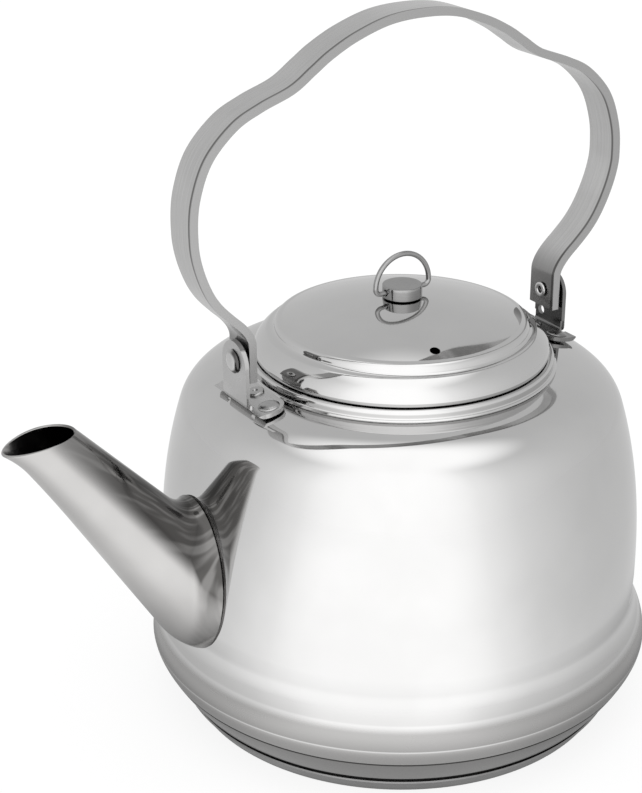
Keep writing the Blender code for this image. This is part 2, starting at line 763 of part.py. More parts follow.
def make_pivot_rivet(name, end):
    """Tubular rivet: domed head outside the ear, rolled hollow tail inside the strap."""
    head_low = bracket_out + seat_gap
    tail_top = strap_out - strap_wall - seat_gap
    tail_low = tail_top - pivot_roll_height
    profile = [(0, head_low + pivot_head_height)]
    profile += bend(profile[-1], (pivot_head_radius * 0.8, head_low + pivot_head_height),
                    (pivot_head_radius, head_low), 3)
    profile += [(pivot_shank_radius, head_low), (pivot_shank_radius, tail_top),
                (pivot_roll_radius - pivot_roll_height / 3, tail_top),
                (pivot_roll_radius, tail_top - pivot_roll_height / 3),
                (pivot_roll_radius, tail_low + pivot_roll_height / 3),
                (pivot_roll_radius - pivot_roll_height / 3, tail_low),
                (pivot_bore_radius + pivot_roll_height / 3, tail_low),
                (pivot_bore_radius, tail_low + pivot_roll_height / 3),
                (pivot_bore_radius, tail_low + pivot_bore_depth), (0, tail_low + pivot_bore_depth)]
    rivet = turned_piece(name, profile, small_steps, steel(name, 0.55, 0.2))
    rivet.location = (0, 0, pivot_height)
    rivet.rotation_euler = (0, end * quarter_turn, 0)


def tail_depth(point, side):
    """How far below a foot's underside a tail starts, at a point beside its middle."""
    return point.z - shoulder_height(math.hypot(point.x, side)) + body_wall + foot_tail_gap


def place_on_foot(item, end, point, side):
    item.location = (end * point.x, end * side, point.z)
    item.rotation_euler = (0, end * foot_tilt, 0)


def make_foot_rivet(name, end, side):
    """Dome head on the foot, shank through the shoulder, flat tail inside the pot."""
    point = foot_point(foot_rivet_shift)
    head_low = bracket_wall + seat_gap
    tail_top = -tail_depth(point, side)
    profile = [(0, head_low + foot_rivet_head_height)]
    profile += bend(profile[-1], (foot_rivet_head_radius * 0.85, head_low + foot_rivet_head_height),
                    (foot_rivet_head_radius, head_low), 3)
    profile += [(foot_rivet_radius, head_low), (foot_rivet_radius, tail_top),
                (foot_rivet_tail_radius, tail_top), (foot_rivet_tail_radius, tail_top - foot_rivet_tail_height),
                (0, tail_top - foot_rivet_tail_height)]
    place_on_foot(turned_piece(name, profile, small_steps, steel(name, 0.62, 0.15)), end, point, side)


def make_foot_stud(name, end):
    """Small stud with a dimple in its head, in the middle of a foot."""
    point = foot_point(stud_shift)
    head_low = bracket_wall + seat_gap
    head_top = head_low + stud_head_height
    tail_top = -tail_depth(point, 0)
    profile = [(0, head_top - stud_dimple_depth), (stud_dimple_radius, head_top - stud_dimple_depth / 2),
               (stud_dimple_radius, head_top), (stud_head_radius * 0.8, head_top),
               (stud_head_radius, head_top - stud_head_height / 2), (stud_head_radius, head_low),
               (stud_radius, head_low), (stud_radius, tail_top), (stud_tail_radius, tail_top),
               (stud_tail_radius, tail_top - stud_head_height), (0, tail_top - stud_head_height)]
    place_on_foot(turned_piece(name, profile, small_steps, steel(name, 0.5, 0.3)), end, point, 0)


def make_pivots(handle, lid_pieces, ring):
    """Empties on the joint axes, which carry the pieces that move."""
    swing = add_object("handle_swing_axis", None, parts)
    swing.location = (0, 0, pivot_height)
    lift = add_object("lid_lift_axis", None, parts)
    lift.location = (0, 0, lid_seat)
    flip = add_object("ring_flip_axis", None, parts)
    flip.location = (0, 0, knob_seat + ring_axis_rise)
    bpy.context.view_layer.update()
    for child, parent in [(handle, swing), (flip, lift), (ring, flip)] + [(p, lift) for p in lid_pieces]:
        child.parent = parent
        child.matrix_parent_inverse = parent.matrix_world.inverted()


foot_seat = shoulder_height(foot_middle) + seat_gap
foot_tilt = math.atan((shoulder_height(bracket_in) - shoulder_height(ear_inner)) / (ear_inner - bracket_in))
clear_scene()
parts = new_collection("tea_kettle")
cutters = new_collection("cutters")
make_base()
make_body(foot_hole_cutter())
make_collar()
make_spout()
lid_pieces = make_lid() + make_knob()
ring = make_ring()
rear = make_bracket("bracket_rear", True)
front = make_bracket("bracket_front", False)
handle = make_strap()
for end, place in ((-1, "front"), (1, "rear")):
    make_pivot_rivet("pivot_rivet_" + place, end)
    make_foot_stud("foot_stud_" + place, end)
    for side, hand in ((-1, "left"), (1, "right")):
        make_foot_rivet("foot_rivet_" + place + "_" + hand, end, end * side * foot_rivet_side)
turn_round = Matrix.Rotation(math.pi, 4, "Z")
front.matrix_world = turn_round
for name in ("_front_outline", "_plan_outline", "_holes"):
    bpy.data.objects["bracket_front" + name].matrix_world = turn_round
make_pivots(handle, lid_pieces, ring)
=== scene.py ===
import json
import math

import bmesh
import bpy
from mathutils import Matrix, Vector


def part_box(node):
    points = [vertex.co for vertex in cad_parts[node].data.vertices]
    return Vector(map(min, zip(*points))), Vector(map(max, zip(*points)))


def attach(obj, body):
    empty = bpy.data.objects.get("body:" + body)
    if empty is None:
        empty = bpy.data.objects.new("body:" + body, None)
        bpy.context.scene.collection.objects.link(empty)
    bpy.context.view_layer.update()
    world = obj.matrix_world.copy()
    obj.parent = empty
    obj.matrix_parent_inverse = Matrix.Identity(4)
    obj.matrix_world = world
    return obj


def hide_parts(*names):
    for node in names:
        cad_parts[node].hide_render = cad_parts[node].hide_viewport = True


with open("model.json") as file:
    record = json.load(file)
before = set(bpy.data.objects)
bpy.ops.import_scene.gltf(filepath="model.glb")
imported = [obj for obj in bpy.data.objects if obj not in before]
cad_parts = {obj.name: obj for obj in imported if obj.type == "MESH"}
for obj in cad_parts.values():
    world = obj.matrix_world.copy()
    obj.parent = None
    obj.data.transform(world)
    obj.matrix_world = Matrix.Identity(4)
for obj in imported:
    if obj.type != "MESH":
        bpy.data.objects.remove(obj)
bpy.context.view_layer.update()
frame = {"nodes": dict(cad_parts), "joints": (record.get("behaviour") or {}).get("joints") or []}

# Tea kettle of polished steel. Metres, the same frame as the CAD: the spout points to -X.
mm = 0.001
fullTurn = 2 * math.pi
quarter = math.pi / 2
smoothUpTo = math.radians(32)  # faces that meet at less are shaded as one
over = 2 * mm  # how far a cutter stands past what it cuts
drillDepth = 8 * mm  # rods that cut a hole through one sheet
deepDrill = 12 * mm  # the same where the sheet slopes

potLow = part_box("body_shell")[0]
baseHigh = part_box("base_disc")[1]
collarLow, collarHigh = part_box("neck_collar")
lidLow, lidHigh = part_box("lid_shell")
knobLow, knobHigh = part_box("lid_knob")
joints = {joint["name"]: joint for joint in frame["joints"]}
pivotHeight = joints["handle_swing"]["pos_m"][2]
ringHeight = joints["ring_flip"]["pos_m"][2]


# Curves through and between points

def bend(start, corner, end, steps):
    # points after start, on a curve that leaves towards corner and lands on end
    points = []
    for step in range(1, steps + 1):
        u = step / steps
        points.append(tuple((1 - u) ** 2 * a + 2 * u * (1 - u) * b + u * u * c
                            for a, b, c in zip(start, corner, end)))
    return points


def spline(points, steps, towards, beyond):
    # smooth curve through all the points, led in from one point and out to another
    ends = [towards] + list(points) + [beyond]
    curve = [tuple(points[0])]
    for index in range(1, len(ends) - 2):
        before, start, end, after = (Vector(p) for p in ends[index - 1:index + 3])
        for step in range(1, steps + 1):
            u = step / steps
            lead = (end - before) / 2 * u * (1 - u) ** 2
            trail = (after - start) / 2 * u * u * (1 - u)
            curve.append(tuple(start * (1 + 2 * u) * (1 - u) ** 2 + end * u * u * (3 - 2 * u) + lead - trail))
    return curve


def arc(centre, radius, start, end, steps):
    angles = [start + (end - start) * step / steps for step in range(steps + 1)]
    return [(centre[0] + radius * math.cos(a), centre[1] + radius * math.sin(a)) for a in angles]


def finer(points, longest):
    # the same line with no stretch longer than asked
    dense = [tuple(points[0])]
    for start, end in zip(points, points[1:]):
        start, end = Vector(start), Vector(end)
        parts = max(1, math.ceil((end - start).length / longest))
        dense += [tuple(start.lerp(end, part / parts)) for part in range(1, parts + 1)]
    return dense


def evenly(points, count):
    # count points at equal distances along a line
    points = [Vector(p) for p in points]
    run = [0]
    for start, end in zip(points, points[1:]):
        run.append(run[-1] + (end - start).length)
    chosen, index = [], 0
    for step in range(count):
        target = run[-1] * step / (count - 1)
        while index < len(points) - 2 and run[index + 1] < target:
            index += 1
        share = (target - run[index]) / max(run[index + 1] - run[index], 1e-9)
        chosen.append(points[index].lerp(points[index + 1], min(1, share)))
    return chosen


# Meshes and what is done to them

def turned(profile, steps):
    # a mesh spun round Z from (radius, height) points
    bm = bmesh.new()
    verts = [bm.verts.new((radius, 0, height)) for radius, height in profile]
    edges = [bm.edges.new(pair) for pair in zip(verts, verts[1:])]
    bmesh.ops.spin(bm, geom=verts + edges, cent=(0, 0, 0), axis=(0, 0, 1), dvec=(0, 0, 0),
                   angle=fullTurn, steps=steps, use_merge=True, use_normal_flip=False, use_duplicate=False)
    bmesh.ops.remove_doubles(bm, verts=bm.verts, dist=0.002 * mm)
    bmesh.ops.recalc_face_normals(bm, faces=bm.faces)
    return bm


def loft(rings):
    # a tube through rings that all have as many points
    bm = bmesh.new()
    loops = []
    for points in rings:
        circle = bmesh.ops.create_circle(bm, segments=len(points), radius=1)["verts"]
        for vert, point in zip(circle, points):
            vert.co = point
        loops.append(list({edge for vert in circle for edge in vert.link_edges}))
    for upper, lower in zip(loops, loops[1:]):
        bmesh.ops.bridge_loops(bm, edges=upper + lower)
    return bm


def ribbon(path, halfWidth):
    # a strip that follows (x, z) points, as wide as asked along Y
    bm = bmesh.new()
    verts = [bm.verts.new((x, -halfWidth, z)) for x, z in path]
    edges = [bm.edges.new(pair) for pair in zip(verts, verts[1:])]
    grown = bmesh.ops.extrude_edge_only(bm, edges=edges)["geom"]
    far = [item for item in grown if isinstance(item, bmesh.types.BMVert)]
    bmesh.ops.translate(bm, vec=(0, 2 * halfWidth, 0), verts=far)
    return bm


def prism(outline, low, high):
    # a flat outline pushed from one offset to another
    bm = bmesh.new()
    face = bm.faces.new([bm.verts.new(Vector(point) + Vector(low)) for point in outline])
    grown = bmesh.ops.extrude_face_region(bm, geom=[face])["geom"]
    tops = [item for item in grown if isinstance(item, bmesh.types.BMVert)]
    bmesh.ops.translate(bm, vec=Vector(high) - Vector(low), verts=tops)
    bmesh.ops.recalc_face_normals(bm, faces=bm.faces)
    return bm


def rods(wanted, sides):
    # round bars, each given as (radius, length, centre, direction)
    bm = bmesh.new()
    for radius, length, centre, direction in wanted:
        turn = Vector((0, 0, 1)).rotation_difference(Vector(direction)).to_matrix().to_4x4()
        bmesh.ops.create_cone(bm, cap_ends=True, segments=sides, radius1=radius, radius2=radius,
                              depth=length, matrix=Matrix.Translation(centre) @ turn)
    return bm


def place(bm, name):
    mesh = bpy.data.meshes.new(name)
    bm.to_mesh(mesh)
    bm.free()
    mesh.shade_smooth()
    mesh.set_sharp_from_angle(angle=smoothUpTo)
    piece = bpy.data.objects.new(name, mesh)
    bpy.context.scene.collection.objects.link(piece)
    return piece


def settle(piece):
    # what the modifiers made becomes the piece's own mesh
    bpy.context.view_layer.update()
    solid = bpy.data.meshes.new_from_object(piece.evaluated_get(bpy.context.evaluated_depsgraph_get()))
    plain = piece.data
    piece.modifiers.clear()
    piece.data = solid
    bpy.data.meshes.remove(plain)
    solid.name = piece.name


def thicken(piece, wall, insideSlot=1):
    # gives a sheet its wall, on the side away from its normals
    sheet = piece.modifiers.new("wall", "SOLIDIFY")
    sheet.thickness = wall
    sheet.offset = -1
    sheet.use_even_offset = True
    sheet.material_offset = insideSlot
    settle(piece)


def trim(piece, cutter, operation="DIFFERENCE"):
    tool = place(cutter, "cutter")
    cut = piece.modifiers.new("cut", "BOOLEAN")
    cut.operation = operation
    cut.solver = "EXACT"
    cut.object = tool
    settle(piece)
    bpy.data.objects.remove(tool, do_unlink=True)
    piece.data.shade_smooth()
    piece.data.set_sharp_from_angle(angle=smoothUpTo)


def soften(piece, width, segments, angle=50):
    # rounds the edges that are sharper than the angle
    edges = piece.modifiers.new("edges", "BEVEL")
    edges.width = width
    edges.segments = segments
    edges.limit_method = "ANGLE"
    edges.angle_limit = math.radians(angle)
    edges.harden_normals = True
    settle(piece)


def finish(piece, body, slot, materials, *nodes):
    # gives the piece its finish and its body, and hides the CAD nodes that it stands for
    piece.data.materials.clear()
    for material in materials:
        piece.data.materials.append(material)
    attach(piece, body)
    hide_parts(*nodes)


# Materials: a socket that can be added, multiplied and so on, and a book that grows a node tree

class Tone:
    def __init__(self, book, socket):
        self.book, self.socket = book, socket

    def maths(self, operation, *values):
        return self.book.add("ShaderNodeMath", {"operation": operation}, dict(enumerate(values)))

    def __add__(self, other):
        return self.maths("ADD", self, other)

    def __radd__(self, other):
        return self.maths("ADD", other, self)

    def __sub__(self, other):
        return self.maths("SUBTRACT", self, other)

    def __rsub__(self, other):
        return self.maths("SUBTRACT", other, self)

    def __mul__(self, other):
        return self.maths("MULTIPLY", self, other)

    def __rmul__(self, other):
        return self.maths("MULTIPLY", other, self)

    def above(self, floor):
        return self.maths("MAXIMUM", self, floor)

    def below(self, roof):
        return self.maths("MINIMUM", self, roof)


class Book:
    def __init__(self, name, world=None):
        self.owner = world or bpy.data.materials.new(name)
        self.owner.use_nodes = True
        self.tree = self.owner.node_tree
        self.tree.nodes.clear()

    def add(self, kind, settings=None, sockets=None, output=0):
        node = self.tree.nodes.new(kind)
        for key, value in (settings or {}).items():
            if key == "stops":
                ramp = node.color_ramp
                ramp.interpolation = "B_SPLINE"
                while len(ramp.elements) < len(value):
                    ramp.elements.new(0.5)
                for element, (position, colour) in zip(ramp.elements, value):
                    element.position = position
                    element.color = colour
            else:
                setattr(node, key, value)
        for key, value in (sockets or {}).items():
            if isinstance(value, Tone):
                self.tree.links.new(value.socket, node.inputs[key])
            else:
                node.inputs[key].default_value = value
        return Tone(self, node.outputs[output]) if node.outputs else None

    def noise(self, vector, scale, detail=2, roughness=0.5):
        return self.add("ShaderNodeTexNoise", {}, {"Vector": vector, "Scale": scale, "Detail": detail,
                                                   "Roughness": roughness})

    def stretch(self, vector, scale):
        return self.add("ShaderNodeMapping", {}, {"Vector": vector, "Scale": scale})

    def vector(self, operation, sockets, output=0):
        return self.add("ShaderNodeVectorMath", {"operation": operation}, sockets, output)

    def axis(self, vector, index):
        return self.add("ShaderNodeSeparateXYZ", {}, {0: vector}, index)

    def mixColour(self, share, first, second):
        return self.add("ShaderNodeMix", {"data_type": "RGBA"}, {0: share, 6: first, 7: second}, 2)

    def blendRange(self, value, low, high, toLow, toHigh):
        return self.add("ShaderNodeMapRange", {"clamp": True, "interpolation_type": "SMOOTHSTEP"},
                        {0: value, 1: low, 2: high, 3: toLow, 4: toHigh})

    def metal(self, colour, roughness, height, strength, distance=0.05 * mm):
        bump = self.add("ShaderNodeBump", {}, {"Strength": strength, "Distance": distance, "Height": height})
        shader = self.add("ShaderNodeBsdfPrincipled", {},
                          {"Base Color": colour, "Roughness": roughness, "Metallic": 1.0, "Normal": bump})
        self.add("ShaderNodeOutputMaterial", {}, {"Surface": shader})
        return self.owner


def grey(tone, warmth=0.0):
    return (tone * (1 + warmth), tone, tone * (1 - warmth), 1)


def ringLines(book, lines, patches):
    # noise drawn out round the Z axis, as a polishing wheel or a lathe leaves it, and the place it is read at
    spot = book.add("ShaderNodeTexCoord", output=3)
    flat = book.vector("MULTIPLY", {0: spot, 1: (1, 1, 0)})
    around = book.vector("NORMALIZE", {0: flat})
    radius = book.vector("LENGTH", {0: flat}, 1)
    height = book.axis(spot, 2)
    level = (height + radius * 1.1) * lines
    wound = book.vector("SCALE", {0: around, "Scale": patches})
    lift = book.add("ShaderNodeCombineXYZ", {}, {2: level})
    return book.vector("ADD", {0: wound, 1: lift}), spot


polishedSteel = {"tone": 0.6, "dull": 0.57, "warmth": 0.004, "shine": 0.03, "haze": 0.05, "lines": 900,
                 "around": 2.5, "patches": 22, "wave": 14, "lineDepth": 0.03, "bump": 0.05}
satinSteel = {"warmth": 0.004, "patchTone": 0.86, "spread": 0.08, "patches": 45, "bump": 0.12}
lathedSteel = {"warmth": 0.004, "patchTone": 0.85, "spread": 0.08, "patches": 60, "bump": 0.1,
               "lines": 1600, "around": 1.6}


def polished(name, changes=None):
    # mirror polish with faint wheel lines, hazy patches and a slow waviness of the sheet
    look = {**polishedSteel, **(changes or {})}
    book = Book(name)
    wound, spot = ringLines(book, look["lines"], look["around"])
    fine = book.noise(wound, 1.0, 3, 0.6)
    patch = book.noise(spot, look["patches"], 3, 0.55)
    wave = book.noise(spot, look["wave"], 1, 0.4)
    colour = book.mixColour(book.blendRange(patch, 0.35, 0.7, 0, 1), grey(look["tone"], look["warmth"]),
                            grey(look["dull"], look["warmth"]))
    hazy = look["shine"] + look["haze"]
    rough = book.blendRange(patch, 0.4, 0.75, look["shine"], hazy) + (fine - 0.5) * look["lineDepth"]
    if "zones" in look:
        colour, rough = look["zones"](book, spot, colour, rough)
    return book.metal(colour, rough.above(0.02), fine * look["lineDepth"] + wave, look["bump"], 0.2 * mm)


def lined(book, spot, lines, look):
    # fine lines over soft patches, in the colour, the roughness and the bump
    tone, warmth = look["tone"], look["warmth"]
    patch = book.noise(spot, look["patches"], 3, 0.6)
    shade = book.blendRange(lines, 0.3, 0.7, 0, 1) * 0.6 + book.blendRange(patch, 0.35, 0.7, 0, 1) * 0.4
    colour = book.mixColour(shade, grey(tone, warmth), grey(tone * look["patchTone"], warmth))
    rough = look["rough"] + (lines - 0.5) * look["spread"] + (patch - 0.5) * look["spread"]
    if "zones" in look:
        colour, rough = look["zones"](book, spot, colour, rough)
    return book.metal(colour, rough.above(0.05), lines, look["bump"], 0.02 * mm)


def satin(name, tone, rough, grain, changes=None):
    # brushed steel, whose lines lie along the axes that grain keeps small
    look = {**satinSteel, "tone": tone, "rough": rough, **(changes or {})}
    book = Book(name)
    spot = book.add("ShaderNodeTexCoord", output=3)
    return lined(book, spot, book.noise(book.stretch(spot, grain), 1.0, 3, 0.65), look)


def lathed(name, tone, rough, changes=None):
    # satin steel with the rings of the lathe
    look = {**lathedSteel, "tone": tone, "rough": rough, **(changes or {})}
    book = Book(name)
    wound, spot = ringLines(book, look["lines"], look["around"])
    return lined(book, spot, book.noise(wound, 1.0, 2, 0.6), look)


collarSteel = polished("collarSteel", {"lines": 1400, "bump": 0.02})
lidSteel = polished("lidSteel", {"lines": 1200, "bump": 0.03})
insideSteel = lathed("insideSteel", 0.4, 0.32)
baseSteel = lathed("baseSteel", 0.25, 0.28, {"lines": 2200})
knobSteel = lathed("knobSteel", 0.33, 0.07, {"lines": 2600})
wireSteel = satin("wireSteel", 0.34, 0.05, (300, 1200, 300))
bracketSteel = satin("bracketSteel", 0.53, 0.28, (900, 60, 60))
# a darker copy of the bracket steel: painted shade on the rear bracket
rearSteel = satin("rearSteel", 0.22, 0.24, (900, 60, 60))
rivetSteel = satin("rivetSteel", 0.42, 0.22, (400, 400, 400))
# a darker copy of the rivet steel: painted shade on the rear rivets and stud
rearRivetSteel = satin("rearRivetSteel", 0.24, 0.2, (400, 400, 400))
print("materials done")


# Pot: a deep-drawn sheet with a bead above its foot, drawn in to a low dome with a mouth

potShape = {"wall": 0.9 * mm, "mouth": 54.0 * mm, "dome": (58.7 * mm, 137.2 * mm), "fall": 0.07,
            "wallTop": (84.6 * mm, 122.0 * mm), "wallPower": 2.4, "belly": (93.5 * mm, 54.0 * mm),
            "waist": (93.1 * mm, 45.5 * mm), "turn": (93.2 * mm, 40.2 * mm), "crease": (95.9 * mm, 36.3 * mm),
            "shoulder": (98.4 * mm, 32.6 * mm), "bead": (98.8 * mm, 27.0 * mm), "under": 22.0 * mm,
            "groove": (19.6 * mm, 0.45 * mm), "foot": 89.0 * mm, "turns": 224, "step": 1.8 * mm}
strainerShape = {"radius": 2.5 * mm, "pitch": 8.4 * mm, "height": 70.0 * mm, "rows": (2, 3, 4, 3, 2)}
footShape = {"middle": 64.2 * mm, "in": 59.3 * mm, "out": 70.3 * mm, "gap": 0.3 * mm, "tailGap": 0.5 * mm,
             "rivetShift": 0.5 * mm, "rivetSide": 12.4 * mm, "rivetHole": 2.3 * mm,
             "studShift": -1.2 * mm, "studHole": 1.9 * mm}
# painted reflection and shade bands below the crease, each from its starts to its ends in mm of height
potShadeBands = {"warmth": 0.012, "bands": (
    {"starts": (35.8, 36.6), "ends": (36.4, 44.0), "share": 0.3, "tone": 0.33},  # painted shade above the crease
    {"starts": (26.9, 27.4), "ends": (33.2, 36.4), "tone": 0.34, "rough": 0.24},  # bead: painted darker reflection, and a rougher finish
    {"starts": (26.9, 27.4), "ends": (27.0, 33.0), "share": 0.5, "tone": 0.2},  # its lower half, painted darker still
    {"ends": (26.4, 26.8), "tone": 0.48, "rough": 0.1},  # foot, a painted reflection lighter than the bead, with a painted highlight line left above it
    {"ends": (19.0, 20.2), "tone": 0.31},  # painted shade below the groove
    {"starts": (19.0, 19.3), "ends": (19.9, 20.2), "tone": 0.03},  # groove, painted dark as its shade
    {"ends": (potLow.z / mm + 0.05, potLow.z / mm + 0.2), "tone": 0.03})}  # painted shadow in the seam over the disc


def paintPotShadeBands(book, spot, colour, rough):
    # each band paints its own tone of reflection or shade over the polish, and some make it rougher
    height = book.axis(spot, 2)
    for band in potShadeBands["bands"]:
        low, high = band["ends"]
        share = book.blendRange(height, low * mm, high * mm, band.get("share", 1), 0)
        if "starts" in band:
            low, high = band["starts"]
            share = share * book.blendRange(height, low * mm, high * mm, 0, 1)
        colour = book.mixColour(share, colour, grey(band["tone"], potShadeBands["warmth"]))
        if "rough" in band:
            rough = rough + share * band["rough"]
    return colour, rough


def potProfile():
    # outer side of the sheet, from the mouth down to the middle of the bottom
    shape = potShape
    dome, fall = shape["dome"], shape["fall"]
    top, belly = shape["wallTop"], shape["belly"]
    rise, draw = top[1] - belly[1], belly[0] - top[0]
    lean = shape["wallPower"] * draw / rise
    corner = (dome[1] - fall * (top[0] + lean * top[1] - dome[0])) / (1 - fall * lean)
    points = [(shape["mouth"], dome[1] + fall * (dome[0] - shape["mouth"])), dome]
    points += bend(dome, (top[0] - lean * (corner - top[1]), corner), top, 28)
    for step in range(1, 37):
        share = 1 - step / 36
        points.append((belly[0] - draw * share ** shape["wallPower"], belly[1] + rise * share))
    points.append(shape["waist"])
    points += bend(points[-1], shape["turn"], shape["crease"], 16)
    points += bend(points[-1], shape["shoulder"], shape["bead"], 14)
    for radius, height in bend(points[-1], (shape["bead"][0], shape["under"]), (shape["foot"], potLow.z), 60):
        nick = max(0, 1 - abs(height - shape["groove"][0]) / shape["groove"][1])
        points.append((radius - nick * shape["groove"][1], height))
    points.append((0, potLow.z))
    return points


potLine = potProfile()


def potRadius(height):
    for (upperRadius, upper), (lowerRadius, lower) in zip(potLine, potLine[1:]):
        if lower <= height <= upper and upper > lower:
            return lowerRadius + (upperRadius - lowerRadius) * (height - lower) / (upper - lower)
    return potShape["mouth"]


def domeHeight(radius):
    for (innerRadius, inner), (outerRadius, outer) in zip(potLine, potLine[1:]):
        if radius <= outerRadius:
            return inner + (outer - inner) * (radius - innerRadius) / (outerRadius - innerRadius)


footDrop = domeHeight(footShape["in"]) - domeHeight(footShape["out"])
footTilt = math.atan(footDrop / (footShape["out"] - footShape["in"]))
footOff = Vector((math.sin(footTilt), 0, math.cos(footTilt)))


def footPoint(shift):
    # a point of the rear bracket's foot, outward along its underside from the middle
    middle = Vector((footShape["middle"], 0, domeHeight(footShape["middle"]) + footShape["gap"]))
    return middle + Vector((math.cos(footTilt), 0, -math.sin(footTilt))) * shift


def strainerHoles():
    # staggered rows of holes behind the spout's root
    holes = []
    rowPitch = strainerShape["pitch"] * math.sin(math.radians(60))
    for row, count in enumerate(strainerShape["rows"]):
        height = strainerShape["height"] + (row - (len(strainerShape["rows"]) - 1) / 2) * rowPitch
        for column in range(count):
            side = (column - (count - 1) / 2) * strainerShape["pitch"]
            holes.append((strainerShape["radius"], deepDrill, (-potRadius(height), side, height), (1, 0, 0)))
    return holes


def footHoles():
    # drillings for the rivets and the stud of the rear foot
    rivet = footPoint(footShape["rivetShift"])
    holes = [(footShape["studHole"], drillDepth, footPoint(footShape["studShift"]), footOff)]
    for side in (-1, 1):
        centre = rivet + Vector((0, side * footShape["rivetSide"], 0))
        holes.append((footShape["rivetHole"], drillDepth, centre, footOff))
    return holes


def bothEnds(holes):
    # the same holes at the front too
    half = Matrix.Rotation(math.pi, 3, "Z")
    return holes + [(radius, length, half @ centre, half @ way) for radius, length, centre, way in holes]


potSteel = polished("potSteel", {"zones": paintPotShadeBands})
pot = place(turned(finer(potLine, potShape["step"]), potShape["turns"]), "potShell")
thicken(pot, potShape["wall"])
trim(pot, rods(strainerHoles() + bothEnds(footHoles()), 24))
finish(pot, "pot", "polished_shell", [potSteel, insideSteel], "body_shell")
print("pot done")


# Base disc: a thick plate under the pot, its side leaning in towards the table

baseShape = {"foot": 84.4 * mm, "top": 88.2 * mm, "edge": 0.9 * mm, "lean": 0.3 * mm, "recess": 1.9 * mm,
             "recessDepth": 3.0 * mm, "turns": 224, "step": 3 * mm}
discTop, discIn = baseHigh.z - baseShape["recess"], baseShape["top"] - baseShape["recessDepth"]
discProfile = [(0, baseHigh.z), (discIn, baseHigh.z), (discIn, discTop)]
discProfile += [(baseShape["top"] - baseShape["edge"] / 2, discTop),
                (baseShape["top"], discTop - baseShape["edge"] / 2)]
discProfile.append((baseShape["foot"] + baseShape["lean"], baseShape["edge"]))
discProfile += bend(discProfile[-1], (baseShape["foot"], 0), (baseShape["foot"] - baseShape["edge"], 0), 4)
discProfile.append((0, 0))
disc = place(turned(finer(discProfile, baseShape["step"]), baseShape["turns"]), "baseDisc")
finish(disc, "pot", "base_disc", [baseSteel], "base_disc")
print("base done")


# Collar: a channel that stands in the mouth, its band on the shoulder and its throat inside

collarShape = {"wall": 0.9 * mm, "band": 57.6 * mm, "flange": 1.1 * mm, "throat": 53.4 * mm,
               "edge": 1.1 * mm, "curl": 2.0 * mm, "gap": 0.3 * mm, "round": 0.2 * mm,
               "turns": 192, "step": 1.2 * mm}


def collarProfile():
    # outer side, from the flange's rim over the top and down the throat to the curl
    shape = collarShape
    wall, edge, band = shape["wall"], shape["edge"], shape["band"]
    inner = shape["throat"] - wall
    curlTop = collarLow.z
    low = potShape["dome"][1] + potShape["fall"] * shape["flange"] + shape["gap"] + wall
    points = [(band + shape["flange"], low - wall / 2), (band + shape["flange"] / 2, low)]
    points += bend(points[-1], (band, low), (band, low + shape["flange"] / 2), 6)
    points.append((band, collarHigh.z - edge))
    points += bend(points[-1], (band, collarHigh.z), (band - edge, collarHigh.z), 8)
    points.append((inner + edge, collarHigh.z))
    points += bend(points[-1], (inner, collarHigh.z), (inner, collarHigh.z - edge), 8)
    points.append((inner, curlTop + edge))
    points += bend(points[-1], (inner, curlTop), (inner + edge, curlTop), 6)
    points.append((inner + wall + shape["curl"], curlTop))
    return points


collar = place(turned(finer(collarProfile(), collarShape["step"]), collarShape["turns"]), "neckCollar")
thicken(collar, collarShape["wall"], 0)
soften(collar, collarShape["round"], 2, 60)
finish(collar, "pot", "polished_shell", [collarSteel], "neck_collar")
print("collar done")


# Lid: a stepped cover with a shallow dome, a bead round it and a small vent hole

lidShape = {"wall": 0.8 * mm, "radius": 55.9 * mm, "rimHeight": 1.3 * mm, "rimLift": 0.22 * mm,
            "ridge": 50.9 * mm, "ridgeRise": 9.0 * mm, "groove": 48.0 * mm, "grooveRise": 10.3 * mm,
            "grooveTurn": (0.3 * mm, 0.9 * mm), "bead": 45.2 * mm, "beadRise": 13.0 * mm,
            "hole": 2.4 * mm, "vent": 1.9 * mm, "ventOut": 40.0 * mm, "ventTurn": math.radians(-106.7),
            "round": 0.2 * mm, "turns": 192, "step": 1.5 * mm}


def lidProfile():
    # outer side from the middle hole down to the rim
    shape = lidShape
    seat, crown = lidLow.z, lidHigh.z
    drop = crown - seat - shape["beadRise"]
    radii = [shape["hole"] + (shape["bead"] - shape["hole"]) * step / 30 for step in range(31)]
    points = [(radius, crown - drop * (radius / shape["bead"]) ** 2) for radius in radii]
    groove = (shape["groove"], seat + shape["grooveRise"])
    points += bend(points[-1], (shape["groove"], seat + shape["beadRise"]), groove, 14)
    ridge = (shape["ridge"], seat + shape["ridgeRise"])
    turn = shape["grooveTurn"]
    points += bend(groove, (groove[0] + turn[0], groove[1] - turn[1]), ridge, 10)
    points += bend(ridge, (shape["radius"], seat + (shape["rimHeight"] + shape["ridgeRise"]) / 2),
                   (shape["radius"], seat + shape["rimHeight"]), 20)
    points.append((shape["radius"] - shape["rimHeight"] / 3, seat + shape["rimLift"]))
    return points


lid = place(turned(finer(lidProfile(), lidShape["step"]), lidShape["turns"]), "lidCover")
thicken(lid, lidShape["wall"])
ventX = lidShape["ventOut"] * math.cos(lidShape["ventTurn"])
ventY = lidShape["ventOut"] * math.sin(lidShape["ventTurn"])
trim(lid, rods([(lidShape["vent"], deepDrill, (ventX, ventY, lidHigh.z - deepDrill / 2), (0, 0, 1))], 32))
soften(lid, lidShape["round"], 2, 60)
finish(lid, "lid", "polished_lid", [lidSteel, insideSteel], "lid_shell")
print("lid done")


# Knob and its ring: a turned button with a wire ring whose ends turn in its sides

